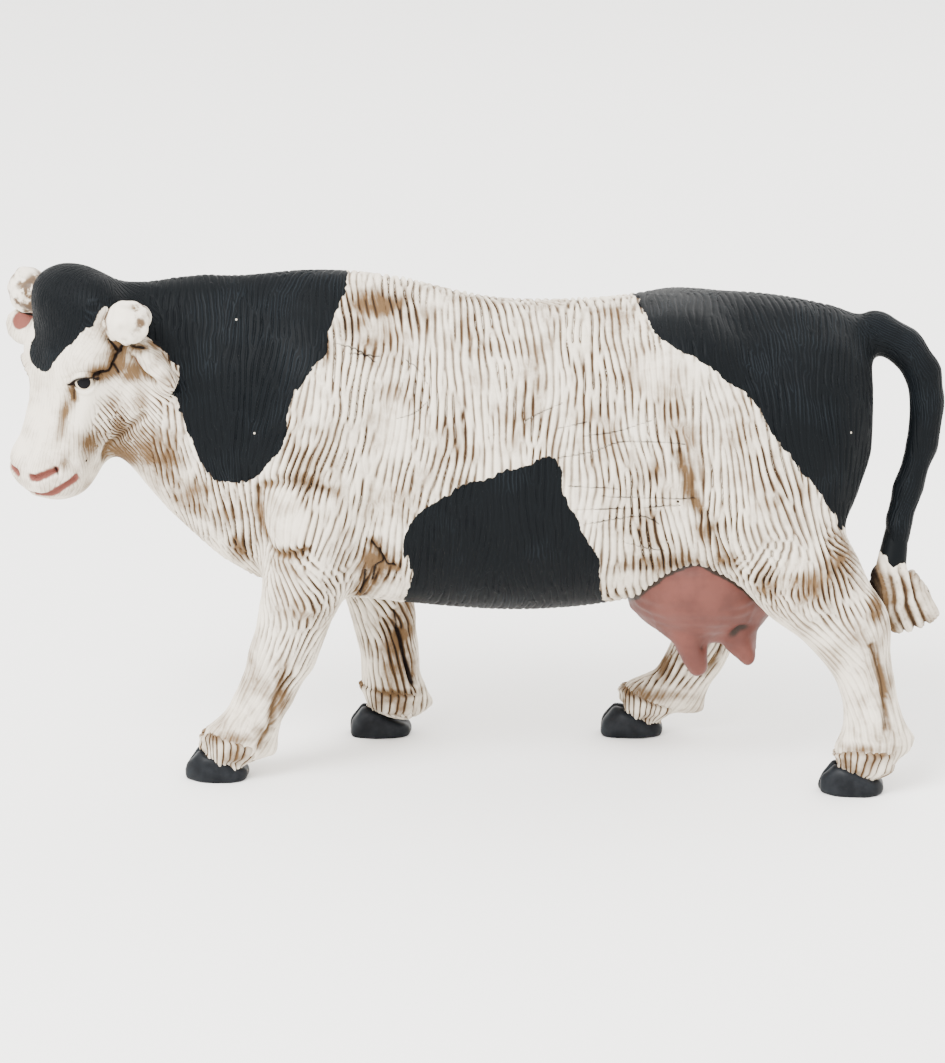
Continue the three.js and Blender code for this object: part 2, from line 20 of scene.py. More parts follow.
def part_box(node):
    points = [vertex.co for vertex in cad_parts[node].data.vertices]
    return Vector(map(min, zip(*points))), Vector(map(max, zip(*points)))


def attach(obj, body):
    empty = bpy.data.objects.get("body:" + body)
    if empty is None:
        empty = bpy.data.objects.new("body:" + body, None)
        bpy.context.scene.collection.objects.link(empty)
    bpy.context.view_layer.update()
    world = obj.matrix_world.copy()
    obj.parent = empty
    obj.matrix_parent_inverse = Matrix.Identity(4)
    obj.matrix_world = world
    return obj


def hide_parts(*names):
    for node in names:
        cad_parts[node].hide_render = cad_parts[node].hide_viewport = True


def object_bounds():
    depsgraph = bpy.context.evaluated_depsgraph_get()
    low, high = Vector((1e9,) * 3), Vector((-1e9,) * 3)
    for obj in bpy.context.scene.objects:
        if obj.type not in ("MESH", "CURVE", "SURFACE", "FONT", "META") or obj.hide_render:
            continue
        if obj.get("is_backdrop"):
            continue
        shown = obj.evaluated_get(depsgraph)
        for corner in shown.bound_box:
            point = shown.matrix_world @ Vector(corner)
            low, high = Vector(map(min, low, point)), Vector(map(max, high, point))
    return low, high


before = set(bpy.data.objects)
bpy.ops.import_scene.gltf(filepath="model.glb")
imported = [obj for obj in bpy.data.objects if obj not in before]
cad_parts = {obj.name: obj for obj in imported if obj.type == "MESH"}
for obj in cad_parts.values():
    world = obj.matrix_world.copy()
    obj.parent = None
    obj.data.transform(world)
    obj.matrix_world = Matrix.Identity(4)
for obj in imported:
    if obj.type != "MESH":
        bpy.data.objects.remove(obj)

CAD_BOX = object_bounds()

bl_info = {
    "name": "Painted Crib Cow",
    "version": (1, 0, 0),
    "blender": (4, 5, 0),
    "location": "View3D > Sidebar > Cow",
    "description": "Carves and paints a cast figure of a walking dairy cow",
    "category": "Add Mesh",
}

MM = 0.001
SEED = 11
FAR = 99.0  # mm, for a place that isn't measured because it is far off
NEVER = -9.0  # mm inside a patch of paint, for a place where that paint never goes
REACH = 5.0  # mm on either side of a line that its relief and its paint may cover

# ---------------------------------------------------------------- places and sizes, mm
LEGS = ("front_leg_left", "front_leg_right", "hind_leg_left", "hind_leg_right")
FLESH = ("trunk", "neck", "head", "ear_left", "ear_right", "tail", *LEGS)
VOXEL = 0.54  # even faces of the flesh, halved on the head and in the coat, and again on the face's details
SMOOTHING = {"trunk": 2.3, "neck": 1.8, "head": 0.8, "ear": 0.55, "leg": 1.05, "tail": 0.9}  # radius, by part

# The head's own places: left of the face's middle line, down the face from the poll, and out of the forehead.
POLL = np.array([4.4, -62.6, 78.6])
HEAD_TURN, HEAD_BOW, HEAD_TIP = 35, 72, 5
HEAD_AXES = np.array(
    Matrix.Rotation(math.radians(HEAD_TURN), 3, "Z")
    @ Matrix.Rotation(math.radians(HEAD_BOW), 3, "X")
    @ Matrix.Rotation(math.radians(HEAD_TIP), 3, "Y")
) * [1, -1, 1]
NAPE_AT = np.array([0.0, 8.0, -12.5])  # in the head's places
NAPE_AXIS = np.array([0.0, -0.35, -0.94])
COAT_DEPTH = 0.5  # how far the skin lies under the carved coat
HEAD_REACH = 42  # from the poll to all of the head

# Left eye in the head's places: inner and outer corner, and the way that the ball looks.
EYE_CORNERS = np.array([[6.4, 14.4, -0.1], [8.9, 12.4, -2.5]])
EYE_LOOKS = np.array([0.745, 0.263, 0.614])


def from_head(places):
    """Points of the head's own places, in the frame of the model."""
    return POLL + np.asarray(places, float) @ HEAD_AXES.T


def on_head(places):
    """Points of the model, in the head's own places."""
    return (places - POLL) @ HEAD_AXES


def folded(places):
    """The same places with the right side laid over the left."""
    return np.abs(places) * [1, 0, 0] + places * [0, 1, 1]


def radii_away(places, middle, radius):
    """How far each point lies from a middle, in radii that may differ along the three axes."""
    return np.linalg.norm((places - np.array(middle)) / np.array(radius), axis=1)


def bell(distance, width):
    return np.exp(-((distance / width) ** 2))


def ramp(value, low, high):
    t = np.clip((value - low) / (high - low), 0, 1)
    return t * t * (3 - 2 * t)


def near_box(places, route, reach):
    """Whether each point lies no farther than a reach outside the box round a route."""
    return np.all((places > route.min(0) - reach) & (places < route.max(0) + reach), axis=1)


def route_distance(places, route, reach=None):
    """Distance of each point from a route of straight pieces, in as many dimensions as the route has. Points
    that lie outside the route's box by more than a given reach aren't measured and count as far off."""
    route = np.asarray(route, float)
    if reach is not None:
        near = near_box(places, route, reach)
        away = np.full(len(places), FAR)
        away[near] = route_distance(places[near], route)
        return away
    return along_route(places, route)[0]


def along_route(places, route):
    """Each point's distance from a route of straight pieces, and how many pieces along the route it lies."""
    best = np.full(len(places), np.inf)
    along = np.zeros(len(places))
    for i, (a, b) in enumerate(zip(route[:-1], route[1:])):
        way = b - a
        d = places - a
        share = np.clip(d @ way / max(way @ way, 1e-9), 0, 1)
        d -= share[:, None] * way
        away = np.einsum("ij,ij->i", d, d)
        along = np.where(away < best, i + share, along)
        best = np.minimum(best, away)
    return np.sqrt(best), along


def rounded(points, closed=True, steps=4):
    """A smooth curve through a few points."""
    points = np.asarray(points, float)
    count = len(points)
    out = []
    for i in range(count if closed else count - 1):
        pick = [(i + n) % count if closed else min(max(i + n, 0), count - 1) for n in (-1, 0, 1, 2)]
        p0, p1, p2, p3 = points[pick]
        for t in np.arange(steps) / steps:
            out.append(
                0.5 * (2 * p1 + (p2 - p0) * t + (2 * p0 - 5 * p1 + 4 * p2 - p3) * t**2
                       + (3 * p1 - p0 - 3 * p2 + p3) * t**3)
            )
    out.append(points[0] if closed else points[-1])
    return np.array(out)


def inside_by(flat, points, margin=3.0):
    """How far flat points lie inside a closed smooth outline; negative outside it."""
    outline = rounded(points)
    out = np.full(len(flat), -margin)
    near = near_box(flat, outline, margin)
    out[near] = signed_distance(flat[near], outline)
    return out


def signed_distance(flat, outline):
    """Distance of flat points from a closed outline, negative outside it."""
    away = route_distance(flat, outline)
    odd = np.zeros(len(flat), bool)
    for (y0, z0), (y1, z1) in zip(outline[:-1], outline[1:]):
        spans = (z0 > flat[:, 1]) != (z1 > flat[:, 1])
        crossing = y0 + (flat[:, 1] - z0) * (y1 - y0) / (z1 - z0 if z1 != z0 else 1e-9)
        odd ^= spans & (flat[:, 0] < crossing)
    return np.where(odd, away, -away)


def waves(places, length, seed):
    """Smooth three-dimensional unevenness from -1 to 1, with a given wave length."""
    pick = np.random.default_rng(seed)
    total = np.zeros(len(places))
    for _ in range(6):
        way = pick.normal(size=3)
        way *= 2 * math.pi / length / np.linalg.norm(way) * pick.uniform(0.7, 1.4)
        total += np.sin(places @ way + pick.uniform(0, 2 * math.pi))
    return total / 3.2


# ---------------------------------------------------------------- meshes
def numbers_of(items, name, width=3, kind=np.float32):
    """A property of many vertices, edges or faces, as a row of numbers for each."""
    flat = np.empty(len(items) * width, kind)
    items.foreach_get(name, flat)
    return flat.reshape(-1, width)


def places_of(mesh):
    return numbers_of(mesh.vertices, "co").astype(float) / MM


def put_places(mesh, places):
    mesh.vertices.foreach_set("co", (places * MM).astype(np.float32).ravel())
    mesh.update()


def normals_of(mesh):
    return numbers_of(mesh.vertex_normals, "vector").astype(float)


def push_out(mesh, distance):
    """Moves each vertex along its normal by its own distance."""
    put_places(mesh, places_of(mesh) + normals_of(mesh) * distance[:, None])


def edges_of(mesh):
    return numbers_of(mesh.edges, "vertices", 2, np.int32)


def face_middles(mesh):
    return numbers_of(mesh.polygons, "center").astype(float) / MM


def relaxed(values, edges, share, turns):
    """Draws the value at each vertex towards its neighbours' mean, by its own share, over some turns."""
    values = np.asarray(values, float)
    flat = values.reshape(len(values), -1)
    count = np.maximum(np.bincount(edges.ravel(), minlength=len(flat)), 1)[:, None]
    a, b = edges.T
    for _ in range(turns):
        total = [np.bincount(a, c[b], len(flat)) + np.bincount(b, c[a], len(flat)) for c in flat.T]
        flat = flat + share[:, None] * (np.stack(total, 1) / count - flat)
    return flat.reshape(values.shape)


def merged_copy(name):
    """A node's mesh with its loose triangles merged; the node itself stays as it is."""
    part = bmesh.new()
    part.from_mesh(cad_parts[name].data)
    bmesh.ops.remove_doubles(part, verts=part.verts, dist=1e-6)
    part.normal_update()
    return part


def surface_tree(name):
    """Finds rays' hits and nearest points on a node's surface."""
    part = merged_copy(name)
    tree = BVHTree.FromBMesh(part)
    part.free()
    return tree


def tree_of(points):
    """Finds the nearest of some points, and its number."""
    tree = kdtree.KDTree(len(points))
    for i, point in enumerate(points):
        tree.insert(point, i)
    tree.balance()
    return tree


def as_mesh(form, name):
    """A worked form as mesh data."""
    mesh = bpy.data.meshes.new(name)
    form.to_mesh(mesh)
    form.free()
    return mesh


def placed(name, data):
    """An object with some data, in the scene."""
    obj = bpy.data.objects.new(name, data)
    bpy.context.scene.collection.objects.link(obj)
    return obj


def modified(mesh, kind, **settings):
    """A mesh as one modifier turns it out."""
    block = placed("block", mesh)
    modifier = block.modifiers.new("modifier", kind)
    for name, value in settings.items():
        setattr(modifier, name, value)
    out = bpy.data.meshes.new_from_object(block.evaluated_get(bpy.context.evaluated_depsgraph_get()))
    bpy.data.objects.remove(block)
    return out


def with_numbers(mesh, **numbers):
    """Gives each vertex the numbers that a paint reads, and smooths the shading."""
    for name, values in numbers.items():
        kind, field = ("FLOAT", "value") if np.ndim(values) == 1 else ("FLOAT_VECTOR", "vector")
        layer = mesh.attributes.new(name, kind, "POINT")
        layer.data.foreach_set(field, np.asarray(values, np.float32).ravel())
    mesh.shade_smooth()
    return mesh


NEARER = 0.8  # mm that a node's second copy moves towards what the node grows from


def blocked_in(names, voxel, grow=0.2, toward=None, extra=()):
    """Nodes grown a little so that their cuts close, as one closed mesh of even faces. A node whose name is
    in toward is also repeated a little nearer to that point, so that it meets what it grows from. Extra forms
    join in."""
    whole, joined = bpy.data.meshes.new("blocked_in"), bmesh.new()

    def join(form):
        form.to_mesh(whole)
        joined.from_mesh(whole)

    for name in names:
        part = merged_copy(name)
        for v in part.verts:
            v.co += v.normal * grow * MM
        join(part)
        if toward and name in toward:
            middle = sum((v.co for v in part.verts), Vector()) / len(part.verts)
            step = (Vector(toward[name]) * MM - middle).normalized() * NEARER * MM
            bmesh.ops.translate(part, verts=part.verts, vec=step)
            join(part)
        part.free()
    for form in extra:
        join(form)
        form.free()
    joined.to_mesh(whole)
    joined.free()
    out = modified(whole, "REMESH", mode="VOXEL", voxel_size=voxel * MM)
    bpy.data.meshes.remove(whole)
    return out


def halved(mesh, chosen):
    """Splits each face into four where a test of the vertices' places says so."""
    fine = bmesh.new()
    fine.from_mesh(mesh)
    picked = chosen(places_of(mesh))
    edges = [e for e in fine.edges if picked[e.verts[0].index] and picked[e.verts[1].index]]
    bmesh.ops.subdivide_edges(fine, edges=edges, cuts=1, use_grid_fill=True)
    fine.to_mesh(mesh)
    fine.free()


class PartFinder:
    """Tells which flesh node each point lies nearest to."""

    def __init__(self):
        self.names = []
        points = []
        for name in FLESH:
            part = merged_copy(name)
            points += [face.calc_center_median() / MM for face in part.faces]
            self.names += [name] * len(part.faces)
            part.free()
        self.tree = tree_of(points)

    def __call__(self, places):
        return np.array([self.names[self.tree.find(p)[1]] for p in places])


def kind_of(name):
    """The kind of part that a node is, as the tables of smoothing and strokes name it."""
    return "ear" if name.startswith("ear") else "leg" if "leg" in name else name


# ---------------------------------------------------------------- sculpting
class Relief:
    """Adds up how far each vertex of a surface moves out, and what is painted there."""

    def __init__(self, places):
        self.places = places
        self.head = on_head(places)
        self.side = places[:, 1:]
        self.out = np.zeros(len(places))
        # dark painted lines, brown wash along a line, and how many mm a place lies inside the pink paint
        self.paint = {"dark": np.zeros(len(places)), "stain": np.zeros(len(places))}
        self.paint["pink"] = np.full(len(places), NEVER)
        self.face = tree_of(self.head[np.linalg.norm(self.head, axis=1) < HEAD_REACH])

    def lay(self, paint, values):
        self.paint[paint] = np.maximum(self.paint[paint], values)

    def laid(self, route):
        """A route on the head, laid on the surface as a smooth curve."""
        return np.array([self.face.find(p)[0] for p in rounded(route, closed=False)])

    def head_routes(self, route):
        """Distances from a route on the left of the head and from the same route on its right."""
        route = np.asarray(route, float)
        return [route_distance(self.head, self.laid(route * [side, 1, 1]), REACH) for side in (1, -1)]

    def head_line(self, route, *strength):
        """A line on both sides of the head, given by its places there."""
        for away in self.head_routes(route):
            self.draw(away, *strength)

    def body_line(self, route, *strength, side, beyond=2.5):
        """A line on one side, given by its places along and up, on all that lies beyond a distance from the
        middle plane."""
        away = route_distance(self.side, rounded(route, closed=False, steps=5), REACH)
        away = np.where(side * self.places[:, 0] > beyond, away, FAR)
        self.draw(away, *strength)

    def draw(self, away, width, height, dark=0.0, dark_width=1.0, stain=0.0, stain_width=1.0):
        """Raises or cuts a line, and lays a dark line and a brown stain of their own widths along it."""
        self.out += height * bell(away, width)
        if dark:
            self.lay("dark", dark * bell(away, dark_width))
        if stain:
            self.lay("stain", stain * bell(away, stain_width))

    def swell(self, middle, radius, height, head=False):
        """A soft mound on both sides."""
        where = self.head if head else self.places
        for side in (1, -1):
            away = radii_away(where, np.array(middle) * [side, 1, 1], radius)
            self.out += height * np.exp(-(away**2))


def eye_frame(side):
    """Middle, along the lids, up across them and out of the opening, in the head's places."""
    flip = np.array([side, 1, 1])
    corners = EYE_CORNERS * flip
    along = corners[1] - corners[0]
    half = np.linalg.norm(along) / 2
    along = along / np.linalg.norm(along)
    out = EYE_LOOKS * flip
    out = out - along * (out @ along)
    out /= np.linalg.norm(out)
    up = np.cross(along, out) * side
    return corners.mean(0), along, up, out, half


def sculpt_eyes(relief):
    """Two lids round an almond opening, with the fold over the upper one, and a pit for the ball."""
    for side in (1, -1):
        middle, along, up, out, half = eye_frame(side)
        d = relief.head - middle
        u, v, w = d @ along, d @ up, d @ out
        arch = np.clip(1 - (u / half) ** 2, 0, 1)
        top, bottom = 0.80 * arch, -1.15 * arch
        beyond = np.where(v > (top + bottom) / 2, v - top, bottom - v)
        beyond = np.maximum(beyond, np.abs(u) - half)
        near = (np.abs(w) < 2.5) & (np.abs(u) < half + 2.5) & (np.abs(v) < 4)
        upper = ramp(v, -0.3, 0.3)
        lid = (0.26 + 0.30 * upper) * bell(beyond - 0.42, 0.36)
        fold = -0.22 * upper * bell(beyond - 1.25, 0.3)
        pit = -1.3 * (1 - ramp(beyond, -0.35, 0.1))
        relief.out += np.where(near, lid + fold + pit, 0)
        rim = bell(beyond - 0.22 * upper, 0.19 + 0.22 * upper) * (0.5 + 0.5 * upper)
        lash = 0.6 * upper * bell(beyond - 1.2, 0.14) * ramp(u, -half, 0)
        relief.lay("dark", np.where(near, np.maximum(rim, lash), 0))


def sculpt_head(relief):
    sculpt_eyes(relief)
    line = relief.head_line
    # creases of the brow, the corner of the eye and the cheek bone
    brow = [[8.9, 11.7, -1.8], [9.3, 10.6, -3.9], [9.4, 8.9, -4.4], [9.6, 7.4, -4.8], [9.9, 6.4, -5.3]]
    line(brow, 0.55, -0.6, 1.0, 0.28, 0.95, 1.8)
    line([[8.5, 6.0, -3.0], [9.1, 6.8, -4.0], [9.6, 7.6, -4.8]], 0.45, -0.45, 1.0, 0.27, 0.95, 1.5)
    line([[9.4, 9.4, -4.4], [9.8, 10.6, -5.6]], 0.35, -0.35, 0.8, 0.26, 0.7, 1.0)
    line([[6.4, 14.4, -0.1], [6.3, 15.4, -0.7], [6.1, 16.6, -1.3]], 0.45, -0.5, 0.7, 0.26, 1.0, 0.7)
    line([[8.6, 12.4, -1.6], [8.9, 11.7, -1.8], [9.2, 10.9, -3.0]], 0.3, -0.2, 1.0, 0.3)
    nose_side = [[5.0, 16.2, -0.2], [5.0, 19.3, -0.8], [5.1, 21.7, -0.9], [5.3, 24.3, -1.2]]
    line(nose_side, 1.0, -0.42, 0, 0, 0.4, 0.7)
    line([[7.9, 15.6, -2.6], [7.3, 18.6, -3.0], [6.7, 21.8, -3.6], [6.3, 24.4, -4.0]], 1.1, 0.3)
    line([[4.0, 12.2, 0.6], [3.6, 17.0, 0.2], [2.6, 24.0, 0.0]], 1.6, 0.22)
    # nostrils: a slot with a rim
    slot = [[1.9, 30.2, 0.0], [3.4, 29.8, -0.2], [5.0, 28.8, -0.7], [6.1, 27.9, -1.3]]
    line(slot, 1.35, 0.42)
    line(slot, 0.55, -1.25)
    line([[5.9, 27.6, -1.2], [6.3, 28.3, -1.6]], 0.35, -0.3, 0.9, 0.35)
    for away in relief.head_routes(slot):
        relief.lay("pink", 0.62 - away)
    # mouth, with a lower lip that thickens to its corner
    lips = [[0.0, 32.6, -2.2], [2.8, 32.8, -2.3], [4.9, 31.6, -2.6], [6.3, 29.9, -3.2], [6.9, 28.4, -4.6]]
    line(lips, 1.1, 0.25)
    line(lips, 0.42, -0.75, 0.25, 0.25)
    thick = 0.45 + 0.3 * ramp(np.abs(relief.head[:, 0]), 3.0, 6.4)
    for away in relief.head_routes(lips):
        relief.lay("pink", thick - away)
    line([[6.6, 25.6, -3.0], [7.0, 27.6, -5.2]], 0.5, -0.3)
    # jaw and cheek
    jaw = [[5.0, 24.4, -10.6], [5.8, 23.2, -10.0], [8.2, 20.5, -10.1], [12.7, 16.2, -10.0]]
    line(jaw, 0.7, -0.75, 0, 0, 0.85, 1.2)
    relief.swell([7.6, 16.6, -3.4], [1.9, 2.6, 2.4], 0.35, head=True)
    relief.swell([8.2, 16.0, -8.0], [2.6, 4.0, 3.0], 0.5, head=True)
    # round the foot of each horn
    foot = [[12.4, 4.6, -2.0], [14.4, 5.3, -1.6], [15.9, 5.1, -1.5], [16.2, 4.6, -2.8], [16.4, 3.7, -4.0]]
    line(foot, 0.5, -0.3, 1.0, 0.34, 1.0, 1.2)
    sculpt_ears(relief)


EAR_SLIT = ((12.5, 7.7, -5.9), (13.2, 8.6, -7.1), (14.1, 9.3, -8.1), (15.8, 9.9, -8.6))
EAR_RIM = ((12.3, 6.0, -4.6), (14.7, 6.6, -5.5), (16.6, 7.8, -6.9), (17.6, 8.9, -8.3))
EAR_HOLLOW = ((-14.3, 6.9, -4.0), (-16.1, 7.7, -3.4))


def sculpt_ears(relief):
    """The left ear hangs half open beside the horn; the right one shows the whole of its pink hollow."""
    away = route_distance(relief.head, relief.laid(EAR_SLIT), REACH)
    wide = ramp(relief.head[:, 0], 15.5, 12.5)
    relief.out -= 1.3 * bell(away, 0.55 + 0.25 * wide)
    relief.lay("pink", 0.12 + 0.3 * wide - away)
    relief.lay("stain", bell(away, 1.1 + 0.5 * wide))
    relief.lay("dark", 0.7 * bell(away - 0.2, 0.26))
    relief.out += 0.75 * bell(route_distance(relief.head, relief.laid(EAR_RIM), REACH), 0.85)
    away = route_distance(relief.head, EAR_HOLLOW, REACH)
    relief.lay("pink", 1.5 - away)
    relief.out -= 0.5 * (1 - ramp(away, 0.6, 1.7))


# Lines on the body, by their places along and up: the two black strokes in the pit of the front leg and their
# branch, creases round the shoulder and in the flank, the tendons of the legs, and scratches that cross the
# carving of the flank.
ARMPIT = (
    ((-15.5, 40.4), (-14.5, 38.8), (-13.9, 37.2), (-15.1, 36.3), (-15.7, 33.6)),
    ((-16.7, 35.3), (-17.1, 32.6), (-17.8, 30.6)),
    ((-14.5, 39.2), (-13.5, 36.8), (-12.2, 36.5)),
)
CREASES = (  # route, width and height, no dark line, strength and width of the stain
    (((-33.4, 48.6), (-33.0, 44.6), (-31.8, 40.6)), 0.7, -0.5, 0, 0, 0.9, 0.9),
    (((-32.6, 49.4), (-29.8, 50.2), (-25.4, 50.4), (-21.6, 49.4)), 0.7, -0.5, 0, 0, 0.7, 1.0),
    (((-31.4, 39.8), (-29.0, 39.2), (-25.6, 40.4)), 0.6, -0.5, 0, 0, 0.9, 0.8),
    (((-13.4, 78.0), (-14.6, 62.0), (-14.6, 50.0), (-16.2, 41.0)), 1.6, -0.5),
    (((31.9, 55.4), (33.4, 50.7), (34.6, 47.4), (36.1, 44.1), (39.4, 38.3)), 0.8, -0.7, 0, 0, 0.85, 1.2),
)
TENDONS = (  # side, route, width, strength and width of the dark line
    (-1, ((-12.6, 22.6), (-12.3, 20.6), (-12.0, 18.6)), 0.55, 0.8, 0.3),
    (-1, ((-12.0, 19.0), (-11.3, 15.1), (-10.5, 12.0), (-9.7, 9.5)), 0.6, 1.0, 0.5),
    (1, ((-28.8, 18.1), (-30.4, 15.8), (-31.5, 13.1), (-32.0, 9.4)), 0.55, 0.5, 0.4),
    (1, ((-32.0, 8.9), (-33.1, 8.0), (-33.8, 6.1)), 0.45, 0.45, 0.3),
    (1, ((62.3, 24.8), (64.1, 19.3), (64.7, 14.6), (65.0, 11.5)), 0.5, 0.6, 0.3),
    (-1, ((42.2, 20.0), (40.4, 15.0), (38.0, 11.4)), 0.45, 0.3, 0.35),
)
SCRATCHES = (
    ((13.2, 59.3), (17.6, 60.3)), ((17.1, 58.2), (22.3, 58.9), (27.5, 60.5)),
    ((8.1, 60.4), (10.5, 61.6), (13.8, 63)),
    ((13.2, 54.9), (18.4, 55.8), (22.3, 57.2), (26.3, 57.3), (32.7, 56.8)), ((14.8, 50.5), (22.4, 50)),
    ((20, 48.8), (27.2, 48.4), (34.4, 48)), ((15.2, 46.6), (22.4, 46.8), (32.1, 47)),
    ((17.2, 44.2), (22.4, 45.1), (26.4, 45.4), (28.9, 44)), ((23.3, 41.1), (26.6, 40), (29.9, 39.1)),
    ((-21, 71.4), (-17.9, 70.5), (-14.9, 68.8)), ((-10.2, 68.9), (-8.4, 67.7), (-6.9, 65.5)),
    ((-19, 70), (-14.4, 69.6)), ((-11.6, 60.6), (-9, 61.4), (-7, 63)),
)


def sculpt_body(relief):
    relief.swell([18.5, -29.0, 44.8], [7, 4.0, 4.4], 1.15)  # point of the shoulder
    relief.swell([17.0, 30.0, 67.4], [6, 5.4, 4.2], 0.5)  # hook bone
    relief.swell([10.5, -11.6, 31.6], [6, 4.6, 2.4], 0.55)  # elbow
    for side in (1, -1):
        for route, *strength in CREASES:
            relief.body_line(route, *strength, side=side)
        for route in ARMPIT:
            relief.body_line(route, 0.4, -0.5, 1.0, 0.27, 1.0, 1.4, side=side)
        for route in SCRATCHES:
            relief.body_line(route, 0.22, -0.12, 0.8, 0.17, side=side)
    for side, route, width, dark, dark_width in TENDONS:
        relief.body_line(route, width, -0.6, dark, dark_width, 0.85, 1.0, side=side, beyond=4.0)


# ---------------------------------------------------------------- the lie of the carved hair
# How far a stroke of the tool leans to the rear for each millimetre down, at places along and up the body.
LEANS = (
    (-50, 72, 0.10), (-40, 66, 0.02), (-30, 70, -0.12), (-27, 58, -0.25), (-51, 52, 0.25), (-44, 44, 0.18),
    (-36, 40, 0), (-21, 76, -0.05), (-21, 62, -0.30), (-25, 54, -0.35), (-14, 70, 0.05), (-15, 56, -0.18),
    (-14, 45, -0.25), (-22, 38, -0.5), (-4, 62, 0.05), (-4, 44, -0.06), (8, 62, 0.04), (16, 48, 0.03),
    (22, 40, 0.05), (28, 56, 0.12), (34, 50, 0.16), (36, 70, 0.22), (45, 62, 0.12), (44, 50, 0.18),
    (52, 55, 0.15), (43, 41, 0.40), (51, 41, 0.45), (57, 60, 0),
)
TAIL_ROUTE = np.array([
    [0, 50, 71.5], [0.4, 63.6, 70.9], [0.8, 68.2, 68.6], [1.2, 71.2, 64.4], [1.8, 72.0, 59.6],
    [2.8, 71.3, 53.6], [4.6, 68.9, 46.4], [6.6, 66.9, 39.8], [8.2, 66.0, 33.0],
])
# On each part: the distance from groove to groove, half the length that a groove runs, and its depth.
STROKES = {
    "trunk": (1.10, 5.0, 0.50), "neck": (0.98, 3.6, 0.40), "head": (0.64, 2.2, 0.17), "ear": (0.8, 3.0, 0.14),
    "leg": (1.05, 5.4, 0.42), "tail": (0.80, 7.0, 0.16),
}
STROKE_REACH = 2.1  # half the width that a stroke has a say over, in grooves
STROKE_THICK = 2.6  # and how far it has a say above and below its own place, in grooves
CELL = 2.4  # mm across the cells in which points are read together
STROKE_GAP = 1.7  # mm between strokes


def leg_axes():
    """For each leg, some heights, and the slopes across and along that its middle line has there."""
    out = {}
    for name in LEGS:
        part = merged_copy(name)
        co = np.array([v.co for v in part.verts]) / MM
        part.free()
        levels = np.linspace(co[:, 2].min() + 2, co[:, 2].max() - 3, 9)
        middles = np.array([co[np.abs(co[:, 2] - z) < 3.4].mean(0) for z in levels])
        out[name] = (levels, np.gradient(middles[:, 0], levels), np.gradient(middles[:, 1], levels))
    return out


def combed(places, normals, parts):
    """The way that the strokes run at each point, along the surface."""
    x, y, z = places.T
    lean = np.zeros(len(places))
    weight = np.full(len(places), 1e-9)
    for at_y, at_z, value in LEANS:
        w = np.exp(-((y - at_y) ** 2 + (z - at_z) ** 2) / (2 * 6.0**2))
        lean += w * value
        weight += w
    lean /= weight
    # outward over the back, and down the sides with a lean
    up = normals[:, 2]
    way = np.stack([2 * np.tanh(x / 1.5) * up * np.abs(up), lean, -np.ones(len(x))], 1)
    # down each leg and along the tail
    for name, (levels, slope_x, slope_y) in leg_axes().items():
        here = parts == name
        h = places[here, 2]
        slopes = [np.interp(h, levels, slope) for slope in (slope_x, slope_y)]
        way[here] = -np.stack([*slopes, np.ones(len(h))], 1)
    here = parts == "tail"
    middles = (TAIL_ROUTE[1:] + TAIL_ROUTE[:-1]) / 2
    nearest = np.argmin(np.linalg.norm(places[here, None] - middles[None], axis=2), axis=1)
    way[here] = np.diff(TAIL_ROUTE, axis=0)[nearest]
    # down the face, back over the cheeks, and in a swirl on the poll
    here = np.isin(parts, ("head", "ear_left", "ear_right"))
    q = on_head(places[here])
    cheek = ramp(np.abs(q[:, 0]), 4.5, 8.0) * ramp(-q[:, 2], 2.0, 6.0)
    poll = ramp(q[:, 1], 13, 9) * ramp(-q[:, 2], 9, 5)
    swirl = -0.35 * q[:, 0] / 6 + 0.5 * np.sin(q[:, 1] / 3.4 + 0.22 * q[:, 0])
    face = np.stack([0.05 * q[:, 0] + poll * swirl, np.ones(len(q)) - 0.35 * cheek, -1.1 * cheek], 1)
    way[here] = face @ HEAD_AXES.T
    bend = np.stack([waves(places, 16, seed) for seed in (61, 62, 63)], 1) * 0.16
    way = way / np.maximum(np.linalg.norm(way, axis=1), 1e-6)[:, None] + bend
    way -= normals * np.sum(way * normals, axis=1)[:, None]
    return way / np.maximum(np.linalg.norm(way, axis=1), 1e-6)[:, None]


def grouped(places, size):
    """Indices of the points in each cell of an even grid."""
    keys = np.floor(places / size).astype(np.int64)
    keys -= keys.min(0)
    span = keys.max(0) + 1
    code = (keys[:, 0] * span[1] + keys[:, 1]) * span[2] + keys[:, 2]
    order = np.argsort(code, kind="stable")
    starts = np.flatnonzero(np.diff(code[order])) + 1
    return np.split(order, starts)


